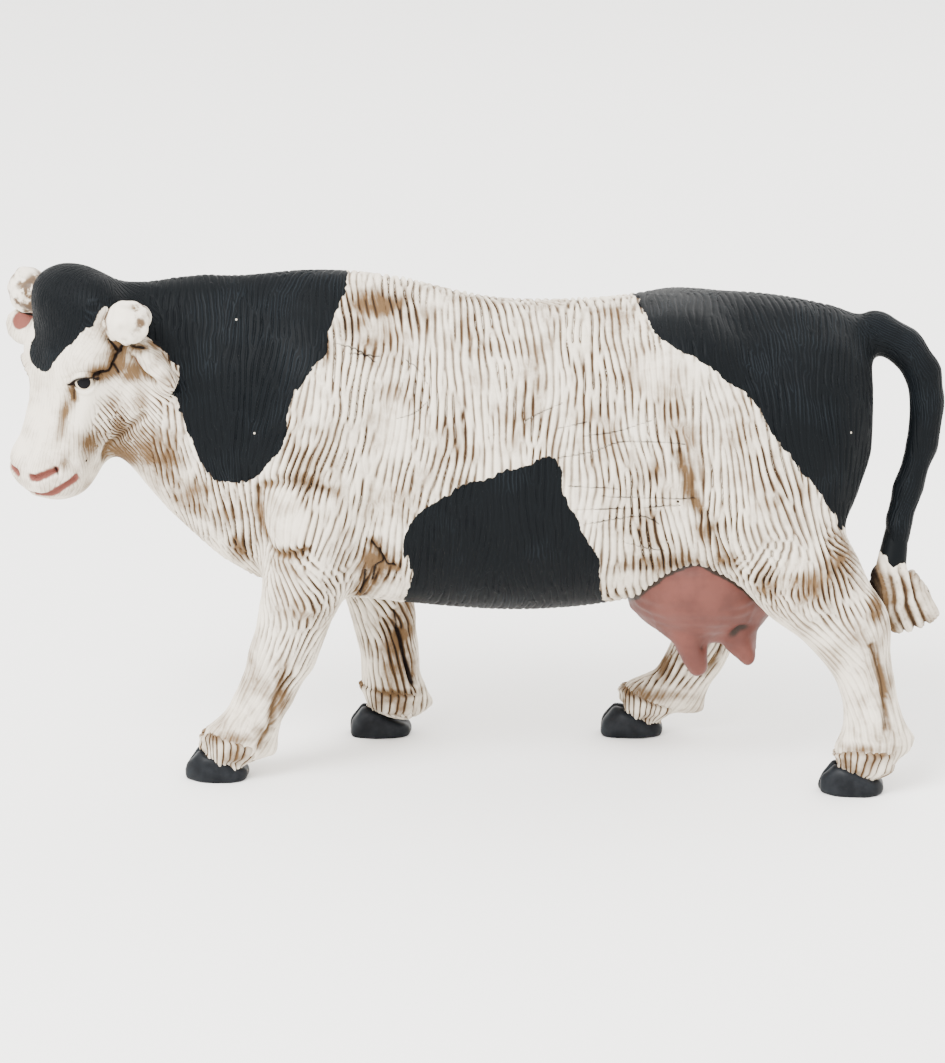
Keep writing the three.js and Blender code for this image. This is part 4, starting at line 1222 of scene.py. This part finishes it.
def make_hoof_mesh(name):
    """A cast hoof: a slight cleft at the toe, and a flat sole."""
    mesh = node_block(name, 0.26, 0.1, 0.6)
    places, normals = places_of(mesh), normals_of(mesh)
    middle = (places.min(0) + places.max(0)) / 2
    cleft = bell(places[:, 0] - middle[0], 0.4) * ramp(places[:, 1], middle[1] - 0.5, middle[1] - 2.5)
    lumps = 0.14 * waves(places, 4.6, 54)
    places = places + normals * (lumps - 0.45 * cleft)[:, None]
    places[:, 2] = np.clip(places[:, 2] - places[:, 2].min() - 0.3, 0, None)
    put_places(mesh, places)
    # where the paint lays its painted sheen: the front of the toe; and the shade number, painted shade in the
    # cleft
    toe = ramp(-normals[:, 1], 0.45, 0.85) * ramp(places[:, 2], 0.2, 1.2)
    return with_numbers(mesh, shade=np.clip(cleft, 0, 1), toe=np.clip(toe, 0, 1))


EYE_MIDDLE, EYE_RADIUS = np.array([6.3, 12.9, -2.3]), 2.3


def make_eye_mesh(side):
    """A ball for an eye, with its pupil painted where it looks."""
    flip = np.array([side, 1, 1])
    ball = bmesh.new()
    bmesh.ops.create_icosphere(ball, subdivisions=5, radius=EYE_RADIUS * MM)
    bmesh.ops.translate(ball, verts=ball.verts, vec=Vector(from_head(EYE_MIDDLE * flip)) * MM)
    mesh = as_mesh(ball, "eye")
    d = on_head(places_of(mesh)) - EYE_MIDDLE * flip
    d /= np.linalg.norm(d, axis=1)[:, None]
    looks = EYE_LOOKS * flip
    return with_numbers(
        mesh, from_pupil=np.arccos(np.clip(d @ looks / np.linalg.norm(looks), -1, 1)) * EYE_RADIUS
    )


# For each cuff of hair over a hoof: the height of its lower edge and of its upper edge, each at the toe and
# at the heel; then how far the upper edge arches, the number of locks, and how far they stand out.
CUFFS = {
    "front_leg_left": ((5.3, 1.6), (7.0, 6.2), 1.6, 27, 0.55),
    "front_leg_right": ((5.3, 4.3), (9.2, 7.9), 0.2, 25, 0.55),
    "hind_leg_left": ((5.1, 2.5), (6.4, 7.7), 0.8, 25, 0.48),
    "hind_leg_right": ((6.0, 1.8), (8.0, 5.4), 1.3, 29, 0.5),
}
CUFF_ROWS = 11
CUFF_THICKNESS = 0.45
CUFF_STEPS = 8  # faces round each lock


def cuff_edges(leg, angle):
    """The heights of a cuff's lower and upper edges at each angle round the leg, from 0 at the toe."""
    low, top, arch = CUFFS[leg][:3]
    heel = (1 - np.cos(angle)) / 2
    lower = low[0] + (low[1] - low[0]) * heel
    return lower, top[0] + (top[1] - top[0]) * heel + arch * 4 * heel * (1 - heel)


def make_cuff_mesh(leg):
    """Locks side by side that hang over the top of a hoof, as one closed band round the leg."""
    locks, stand = CUFFS[leg][3:]
    band = bmesh.new()
    bmesh.ops.create_cone(band, cap_ends=False, segments=locks * CUFF_STEPS, radius1=1, radius2=1, depth=1)
    upright = [e for e in band.edges if abs(e.verts[0].co.z - e.verts[1].co.z) > 0.5]
    bmesh.ops.subdivide_edges(band, edges=upright, cuts=CUFF_ROWS, use_grid_fill=True)
    co = np.array([v.co for v in band.verts])
    share = 0.5 - co[:, 2]  # 0 at the top and 1 at the lower edge
    angle = np.arctan2(co[:, 0], -co[:, 1])
    lower, upper = cuff_edges(leg, angle)
    z = lower + (upper - lower) * (1 - share)
    middle = (np.array(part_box(leg.replace("leg", "hoof"))) / MM).mean(0)
    radius = foot_radius(leg, middle, angle, z)
    evened_turn = even_turn(angle, radius, np.abs(share - 0.5) < 0.01)
    phase = lock_turn(locks, evened_turn(angle), middle)
    lobe = np.abs(np.sin(phase)) ** 0.6
    uneven = 0.5 + 0.5 * np.sin(2.3 * np.floor(phase / math.pi) + middle[1])
    full = ramp(share, 0.0, 0.14) * (1 - 0.45 * ramp(share, 0.8, 1.0)) + 0.3 * bell(share - 0.24, 0.14)
    swelling = 0.35 + stand * (0.3 + 0.7 * lobe * (0.8 + 0.2 * uneven))
    radius += -0.4 - 0.8 * ramp(share, 0.12, 0.0) + full * swelling
    z -= ramp(share, 0.6, 1.0) * (0.30 + 0.25 * uneven) * lobe - 0.25 * ramp(share, 0.3, 0.0) * lobe
    x = middle[0] + np.sin(angle) * radius
    y = middle[1] - np.cos(angle) * radius
    for v, place in zip(band.verts, np.column_stack([x, y, z]) * MM):
        v.co = place
    bmesh.ops.recalc_face_normals(band, faces=band.faces)
    bmesh.ops.solidify(band, geom=band.faces[:], thickness=CUFF_THICKNESS * MM)
    bmesh.ops.recalc_face_normals(band, faces=band.faces)
    mesh = as_mesh(band, "cuff")
    places = places_of(mesh)
    angle = np.arctan2(places[:, 0] - middle[0], middle[1] - places[:, 1])
    lower, upper = cuff_edges(leg, angle)
    up = (places[:, 2] - lower) / (upper - lower)
    between = 1 - ramp(np.abs(np.sin(lock_turn(locks, evened_turn(angle), middle))), 0.05, 0.6)
    # brown wash between the locks, and painted shade along the top, under the edge of the leg's coat
    wash = 0.46 + 0.30 * ramp(up, 0.7, 1.0) + 0.2 * between + 0.2 * waves(places, 5, 71)
    return dressed_plain(mesh, leg, 0.5 + 0.36 * between, wash)


def even_turn(angle, radius, ring):
    """Turns an angle round a foot into the share of the way round one of its rings, from minus pi to pi."""
    order = np.argsort(angle[ring])
    turns, radii = angle[ring][order], radius[ring][order]
    x, y = np.sin(turns) * radii, np.cos(turns) * radii
    steps = np.hypot(x - np.roll(x, 1), y - np.roll(y, 1))
    way = np.cumsum(steps) / steps.sum() * 2 * math.pi - math.pi
    return lambda turn: np.interp(turn, turns, way)


def lock_turn(locks, angle, middle):
    """Half a turn for each lock round a cuff, with some locks wider than others."""
    return locks * (angle + 0.05 * np.sin(3 * angle + middle[1]) + 0.03 * np.sin(7 * angle)) / 2


RAY_START = 12  # mm out from the middle of the foot, beyond all of it


def foot_radius(leg, middle, angle, height):
    """How far the leg's and the hoof's surface lies from the middle of the foot, at each angle and height."""
    trees = [surface_tree(name) for name in (leg, leg.replace("leg", "hoof"))]
    turns = np.linspace(-math.pi, math.pi, 49)[:-1]
    levels = np.linspace(height.min(), height.max(), 9)
    table = np.zeros((len(levels), len(turns)))
    for i, level in enumerate(levels):
        for j, turn in enumerate(turns):
            way = Vector((math.sin(turn), -math.cos(turn), 0))
            start = Vector((middle[0], middle[1], level)) + way * RAY_START
            hits = [tree.ray_cast(start * MM, -way)[3] for tree in trees]
            table[i, j] = max([RAY_START - hit / MM for hit in hits if hit is not None], default=3.0)
    table = np.clip(table, 1.8, 6.6)
    for _ in range(2):
        table = (np.roll(table, 1, 1) + 2 * table + np.roll(table, -1, 1)) / 4
    row = np.clip((height - levels[0]) / (levels[1] - levels[0]), 0, len(levels) - 1.001)
    column = (angle + math.pi) / (2 * math.pi) * len(turns)
    i, j = np.floor(row).astype(int), np.floor(column).astype(int)
    here, beside = j % len(turns), (j + 1) % len(turns)
    below, above = (table[k, here] * (1 - column + j) + table[k, beside] * (column - j) for k in (i, i + 1))
    return below * (1 - row + i) + above * (row - i)


# ---------------------------------------------------------------- paints
class Paint:
    """A material's node tree, with short ways to add the nodes that these paints use."""

    def __init__(self, name):
        self.material = bpy.data.materials.new(name)
        self.material.use_nodes = True
        self.tree = self.material.node_tree
        self.coords = self.add("TexCoord").outputs["Object"]

    def fill(self, node, inputs):
        """Gives a node's inputs their numbers or links."""
        for socket, value in inputs.items():
            if isinstance(value, bpy.types.NodeSocket):
                self.tree.links.new(value, node.inputs[socket])
            else:
                node.inputs[socket].default_value = value

    def add(self, kind, inputs=None, **settings):
        node = self.tree.nodes.new("ShaderNode" + kind)
        for name, value in settings.items():
            setattr(node, name, value)
        self.fill(node, inputs or {})
        return node

    def read(self, name, vector=False):
        return self.add("Attribute", attribute_name=name).outputs["Vector" if vector else "Fac"]

    def do(self, operation, a, b=0.0, clamp=False):
        return self.add("Math", {0: a, 1: b}, operation=operation, use_clamp=clamp).outputs[0]

    def times(self, a, b, clamp=False):
        return self.do("MULTIPLY", a, b, clamp)

    def plus(self, a, b):
        return self.do("ADD", a, b)

    def between(self, value, low, high, to_low=0.0, to_high=1.0):
        """A value eased from one span of numbers to another."""
        inputs = {"Value": value, "From Min": low, "From Max": high, "To Min": to_low, "To Max": to_high}
        return self.add("MapRange", inputs, interpolation_type="SMOOTHSTEP").outputs["Result"]

    def mix(self, share, a, b):
        inputs = {"Factor": share, 6: opaque(a), 7: opaque(b)}
        return self.add("Mix", inputs, data_type="RGBA").outputs[2]

    def noise(self, scale, detail=3.0):
        inputs = {"Scale": scale, "Detail": detail, "Roughness": 0.55, "Vector": self.coords}
        return self.add("TexNoise", inputs).outputs["Fac"]

    def parts(self, vector):
        return self.add("SeparateXYZ", {"Vector": vector}).outputs

    def dots(self, scale, radius, share):
        """Round specks strewn at random, in a share of the cells of a given size."""
        cells = self.add("TexVoronoi", {"Scale": scale, "Vector": self.coords}).outputs
        near = self.between(cells["Distance"], radius * 0.6, radius, 1.0, 0.0)
        return self.times(near, self.do("LESS_THAN", self.parts(cells["Color"])[0], share))

    def bump(self, height, distance, strength=0.6):
        inputs = {"Distance": distance * MM, "Strength": strength, "Height": height}
        return self.add("Bump", inputs).outputs["Normal"]

    def finish(self, colour, roughness, specular, **more):
        inputs = {"Base Color": opaque(colour), "Roughness": roughness, "Specular IOR Level": specular}
        self.fill(self.tree.nodes["Principled BSDF"], inputs | more)
        return self.material


def opaque(colour):
    return colour if isinstance(colour, bpy.types.NodeSocket) else (*tuple(colour)[:3], 1.0)


def tinted(colour, share):
    """A colour with its channels raised or dimmed."""
    return np.array(colour) * share


def hide_paint(colours):
    """Ivory paint, brown wash in the grooves, and black patches with edges that follow the strokes."""
    p = Paint("hide_paint")
    x, y = p.parts(p.read("wave", vector=True))[:2]
    turn = p.do("ARCTAN2", y, x)
    strength = p.between(p.do("SQRT", p.plus(p.times(x, x), p.times(y, y))), 0.2, 0.80)
    across = p.do("DIVIDE", p.do("ABSOLUTE", turn), math.pi)
    carving, wash = p.read("carving"), p.read("wash")
    groove = p.times(p.times(p.between(across, 0.50, 0.94), strength), carving, clamp=True)
    cloud, haze, grain = p.noise(260.0, 4.0), p.noise(95.0), p.noise(1500.0, 2.0)
    # fine lines between the grooves
    shaken = p.plus(p.times(turn, 2.0), p.times(cloud, 9.0))
    fine = p.times(p.plus(p.do("SINE", shaken), 1.0), 0.5)
    # brown wash: a thin film where it gathers, and dark at the bottom of the grooves; the wash numbers of the
    # cuffs and the switch also hold painted shade
    warm = tinted(colours.ivory, (0.93, 0.91, 0.88))
    ivory = p.mix(p.between(haze, 0.35, 0.65, 0.0, 0.5), colours.ivory, warm)
    ivory = p.mix(p.between(grain, 0.66, 0.76, 0.0, 0.4), ivory, tinted(colours.ivory, 0.8))
    film = p.plus(wash, p.between(cloud, 0.3, 0.7, -0.2, 0.2))
    # painted shade that rounds each ridge: tan on its sides and paler on its crest
    sides = p.times(p.between(x, -0.7, 0.8, -0.26, 0.14), p.between(carving, 0.0, 1.0, 0.35, 1.0))
    film = p.plus(p.do("SUBTRACT", film, sides), p.between(fine, 0.0, 1.0, 0.06, -0.06))
    white = p.mix(p.between(film, -0.02, 1.0), ivory, colours.film)
    depth = p.plus(p.times(wash, 0.85), 0.40)
    stain = p.times(p.times(groove, depth), p.between(haze, 0.36, 0.6, 0.7, 1.15), clamp=True)
    white = p.mix(p.between(stain, 0.05, 0.75), white, colours.wash)
    white = p.mix(p.between(stain, 0.55, 1.0, 0.0, 0.9), white, colours.deep_wash)
    white = p.mix(p.dots(120.0, 0.035, 0.25), white, colours.deep_wash)
    # the black patches, with a painted blue-grey sheen over the fine lines on the ridges
    edge = p.plus(p.read("black"), p.times(p.times(x, carving), 0.13))
    edge = p.plus(edge, p.between(cloud, 0.3, 0.7, -0.4, 0.4))
    inside = p.between(edge, -0.05, 0.07)
    sheen = p.times(p.between(fine, 0.55, 1.0), p.between(haze, 0.46, 0.66, 0.1, 1.0), clamp=True)
    dark = p.mix(p.times(sheen, 0.5), colours.black, colours.black_brushed)
    dark = p.mix(p.dots(150.0, 0.032, 0.2), dark, tinted(colours.ivory, 0.6))
    colour = p.mix(inside, white, dark)
    # pink and dark painted lines
    rosy = p.between(p.plus(p.read("rosy"), p.between(cloud, 0.3, 0.7, -0.12, 0.12)), -0.15, 0.2)
    colour = p.mix(rosy, colour, colours.pink)
    line = p.times(p.read("line"), p.between(cloud, 0.3, 0.6, 0.7, 1.05))
    colour = p.mix(p.between(line, 0.25, 0.85), colour, colours.line)
    cut = p.do("SUBTRACT", p.times(fine, p.times(carving, 0.35)), groove)
    height = p.plus(cut, p.times(cloud, 0.3))
    return p.finish(colour, p.between(inside, 0.0, 1.0, 0.6, 0.5), 0.045, Normal=p.bump(height, 0.12))


def udder_paint(colours):
    """Brownish pink, with painted shade in the crease and where the udder meets the body."""
    p = Paint("udder_paint")
    cloud, fine = p.noise(240.0, 4.0), p.noise(900.0)
    colour = p.mix(p.between(cloud, 0.35, 0.7), colours.udder, tinted(colours.udder, 0.72))
    colour = p.mix(p.between(p.read("shade"), 0.25, 0.9, 0.0, 0.95), colour, colours.deep_wash)
    return p.finish(colour, 0.5, 0.2, Normal=p.bump(fine, 0.05))


def horn_paint(colours):
    """Ivory paint, browned by the shade number: painted shade round the root and where the knob turns away
    from the front, mottled with brown in the pits.
    """
    p = Paint("horn_paint")
    cloud = p.noise(420.0, 5.0)
    # stain here carries the shade number: painted shade, mottled
    stain = p.times(p.read("shade"), p.between(cloud, 0.40, 0.60, 0.1, 1.1), clamp=True)
    colour = p.mix(p.between(stain, 0.0, 0.6), colours.ivory, colours.film)
    colour = p.mix(p.between(stain, 0.4, 1.0), colour, colours.wash)
    return p.finish(colour, 0.45, 0.3, Normal=p.bump(cloud, 0.1))


def hoof_paint(colours):
    """Near black, with painted shade in the cleft and a painted blue-grey sheen over the front of the toe."""
    p = Paint("hoof_paint")
    cloud = p.noise(380.0, 4.0)
    colour = p.mix(p.between(cloud, 0.35, 0.72), colours.hoof, tinted(colours.hoof, 1.7) + 0.004)
    colour = p.mix(p.between(p.read("shade"), 0.2, 1.0, 0.0, 0.6), colour, tinted(colours.hoof, 0.4))
    toe_sheen = p.times(p.read("toe"), p.between(cloud, 0.4, 0.6, 0.1, 0.5))
    colour = p.mix(toe_sheen, colour, colours.black_brushed)
    return p.finish(colour, 0.4, 0.09, Normal=p.bump(cloud, 0.12))


def eye_paint(_):
    """A black pupil in a cream crescent with a dark rim, all under a gloss."""
    p = Paint("eye_paint")
    away = p.read("from_pupil")
    cream = p.mix(p.between(p.noise(900.0), 0.4, 0.7), (0.62, 0.53, 0.40), (0.48, 0.38, 0.27))
    colour = p.mix(p.between(away, 1.08, 1.16), (0.004, 0.004, 0.005), cream)
    colour = p.mix(p.between(away, 1.46, 1.62), colour, (0.02, 0.014, 0.01))
    return p.finish(colour, 0.25, 0.05)


def pale_floor(_):
    p = Paint("pale_floor")
    return p.finish(p.mix(p.noise(6.0), (0.90, 0.895, 0.88), (0.92, 0.915, 0.90)), 0.8, 0.5)


def paint(maker, context):
    """The material that a maker mixes from the chosen colours, mixed once."""
    return bpy.data.materials.get(maker.__name__) or maker(context.scene.cow_colours)


# ---------------------------------------------------------------- what a user can change
def chosen_colour(name, description, *default):
    return FloatVectorProperty(
        name=name, description=description, subtype="COLOR", default=default, min=0, max=1,
    )


class CowColours(PropertyGroup):
    """Paints of the figure."""

    ivory: chosen_colour("Ivory", "Paint of the white coat, face and horns", 0.72, 0.655, 0.55)
    # film, wash and deep wash also paint shade: on the sides of the ridges, on the horns, round the udder,
    # along the cuffs' tops and on the switch beside the hock
    film: chosen_colour("Film", "Thin brown film where the wash gathers", 0.108, 0.064, 0.031)
    wash: chosen_colour("Wash", "Brown that lies in the carving", 0.056, 0.031, 0.015)
    deep_wash: chosen_colour("Deep wash", "Brown at the bottom of the carving", 0.016, 0.0105, 0.007)
    black: chosen_colour("Black", "Paint of the dark patches", 0.0030, 0.0038, 0.0046)
    # painted sheen: the blue-grey that stands for light on the black patches and on the front of the hooves'
    # toes
    black_brushed: chosen_colour("Black sheen", "Painted blue-grey sheen on the dark patches", 0.012, 0.016, 0.020)
    line: chosen_colour("Line", "Dark painted lines at the lids and creases", 0.008, 0.005, 0.004)
    pink: chosen_colour("Pink", "Paint of the nostrils, lips and ears", 0.17, 0.060, 0.047)
    udder: chosen_colour("Udder", "Paint of the udder", 0.108, 0.034, 0.026)
    hoof: chosen_colour("Hoof", "Paint of the hooves", 0.0040, 0.0048, 0.0062)


class CowStudio(PropertyGroup):
    """Light and camera."""

    key: FloatProperty(name="Key light", description="Power of the main light, in watts", default=20.0, min=0)
    fill: FloatProperty(name="Fill light", description="Power of the far side's light", default=4.0, min=0)
    sky: FloatProperty(name="Sky", description="Strength of the light all round", default=3.2, min=0)
    distance: FloatProperty(
        name="Camera distance", description="From the camera to the cow's middle", default=0.6, unit="LENGTH",
    )
    lens: FloatProperty(name="Lens", description="Focal length in millimetres", default=127.0, min=1)


# ---------------------------------------------------------------- operators
class Modelling:
    """What the operators that model pieces share: the pieces of each one take the same paint, the coat's if
    it names no other."""

    mixed_by = staticmethod(hide_paint)
    slot = "painted_coat"

    def execute(self, context):
        material = paint(self.mixed_by, context)
        for name, mesh, nodes in self.pieces():
            finished(name, mesh, material, self.slot, nodes)
        return {"FINISHED"}


class COW_OT_skin(Modelling, Operator):
    """Model the one skin of the cow, with the face, and paint it"""

    bl_idname = "cow.skin"
    bl_label = "Skin and face"

    def pieces(self):
        yield "skin", make_skin_mesh(), FLESH


class COW_OT_coat(Modelling, Operator):
    """Carve the coat over the skin, in eight pieces"""

    bl_idname = "cow.coat"
    bl_label = "Carved coat"

    def pieces(self):
        whole = make_coat_mesh()
        regions = coat_regions(face_middles(whole))
        for number, name in enumerate(COAT_PIECES):
            yield name, cut_out(whole, regions == number), ()
        bpy.data.meshes.remove(whole)


class COW_OT_switch(Modelling, Operator):
    """Model the tuft at the end of the tail"""

    bl_idname = "cow.switch"
    bl_label = "Tail switch"

    def pieces(self):
        yield "switch_tuft", make_switch_mesh(), ["tail_switch"]


class COW_OT_cuffs(Modelling, Operator):
    """Model the cuffs of hair over the four hooves"""

    bl_idname = "cow.cuffs"
    bl_label = "Cuffs over the hooves"

    def pieces(self):
        for leg in LEGS:
            yield leg.replace("leg", "cuff"), make_cuff_mesh(leg), ()


class COW_OT_udder(Modelling, Operator):
    """Model the udder and its teats"""

    bl_idname = "cow.udder"
    bl_label = "Udder"
    mixed_by = staticmethod(udder_paint)
    slot = "painted_udder"

    def pieces(self):
        yield "udder_bag", make_udder_mesh(), ["udder"]


class COW_OT_horns(Modelling, Operator):
    """Model the two horns, which end in blunt knobs"""

    bl_idname = "cow.horns"
    bl_label = "Horns"
    mixed_by = staticmethod(horn_paint)
    slot = "painted_horn"

    def pieces(self):
        for side in ("left", "right"):
            yield f"horn_knob_{side}", make_horn_mesh(side), [f"horn_{side}"]


class COW_OT_eyes(Modelling, Operator):
    """Model the two eyes"""

    bl_idname = "cow.eyes"
    bl_label = "Eyes"
    mixed_by = staticmethod(eye_paint)
    slot = "painted_eye"

    def pieces(self):
        for side, name in ((1, "left"), (-1, "right")):
            yield f"eyeball_{name}", make_eye_mesh(side), [f"eye_{name}"]


class COW_OT_hooves(Modelling, Operator):
    """Model the four hooves"""

    bl_idname = "cow.hooves"
    bl_label = "Hooves"
    mixed_by = staticmethod(hoof_paint)
    slot = "painted_hoof"

    def pieces(self):
        for node in (leg.replace("leg", "hoof") for leg in LEGS):
            yield f"{node}_horn", make_hoof_mesh(node), [node]


class COW_OT_stage(Operator):
    """Set up the pale floor, the soft lights and the camera"""

    bl_idname = "cow.stage"
    bl_label = "Stage"

    def execute(self, context):
        make_floor(paint(pale_floor, context))
        make_lights(context.scene.cow_studio)
        make_camera(context.scene.cow_studio)
        return {"FINISHED"}


FLOOR_HALF = 3.0  # metres


def make_floor(material):
    sheet = bmesh.new()
    bmesh.ops.create_grid(sheet, x_segments=1, y_segments=1, size=FLOOR_HALF)
    floor = placed("floor", as_mesh(sheet, "floor"))
    floor.data.materials.append(material)
    floor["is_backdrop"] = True


def area_light(name, power, size, place, target=(0, 0, 0.04)):
    lamp = placed(name, bpy.data.lights.new(name, "AREA"))
    lamp.data.energy = power
    lamp.data.size = size
    lamp.location = place
    lamp.rotation_euler = (Vector(target) - Vector(place)).to_track_quat("-Z", "Y").to_euler()


def make_lights(studio):
    area_light("key", studio.key, 0.5, (0.55, -0.45, 0.75))
    area_light("fill", studio.fill, 0.7, (-0.6, 0.5, 0.6))
    world = bpy.data.worlds.new("sky")
    world.use_nodes = True
    background = world.node_tree.nodes["Background"]
    background.inputs["Color"].default_value = (1.0, 0.985, 0.96, 1.0)
    background.inputs["Strength"].default_value = studio.sky
    bpy.context.scene.world = world


LOOKED_AT = Vector((0, 0, 0.0381))
CAMERA_RISE = math.radians(15)


def make_camera(studio):
    camera = placed("camera", bpy.data.cameras.new("camera"))
    camera.data.sensor_width = 36
    camera.data.lens = studio.lens
    camera.data.clip_start = 0.01
    away = Vector((math.cos(CAMERA_RISE), 0, math.sin(CAMERA_RISE)))
    camera.location = LOOKED_AT + away * studio.distance
    camera.rotation_euler = (-away).to_track_quat("-Z", "Y").to_euler()
    bpy.context.scene.camera = camera


MAKERS = (
    COW_OT_skin, COW_OT_coat, COW_OT_switch, COW_OT_cuffs, COW_OT_udder, COW_OT_horns, COW_OT_eyes,
    COW_OT_hooves, COW_OT_stage,
)


class COW_PT_panel(Panel):
    """Lists the pieces of the cow"""

    bl_idname = "COW_PT_panel"
    bl_label = "Painted crib cow"
    bl_space_type = "VIEW_3D"
    bl_region_type = "UI"
    bl_category = "Cow"

    def draw(self, context):
        for maker in MAKERS:
            self.layout.operator(maker.bl_idname)
        for group in (context.scene.cow_colours, context.scene.cow_studio):
            for name in group.__annotations__:
                self.layout.prop(group, name)


CLASSES = (CowColours, CowStudio, *MAKERS, COW_PT_panel)


def register():
    for item in CLASSES:
        bpy.utils.register_class(item)
    bpy.types.Scene.cow_colours = PointerProperty(type=CowColours)
    bpy.types.Scene.cow_studio = PointerProperty(type=CowStudio)


def unregister():
    del bpy.types.Scene.cow_studio
    del bpy.types.Scene.cow_colours
    for item in reversed(CLASSES):
        bpy.utils.unregister_class(item)


def write_sizes():
    """Works out the frame's box and the dressed model's box as plain numbers; nothing keeps or compares them.
    """
    boxes = {"cad": CAD_BOX, "visual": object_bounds()}
    plain = {name: [[float(v) for v in corner] for corner in box] for name, box in boxes.items()}


def main():
    register()
    for maker in MAKERS:
        section, name = maker.bl_idname.split(".")
        getattr(getattr(bpy.ops, section), name)()
    write_sizes()


if __name__ == "__main__":
    main()
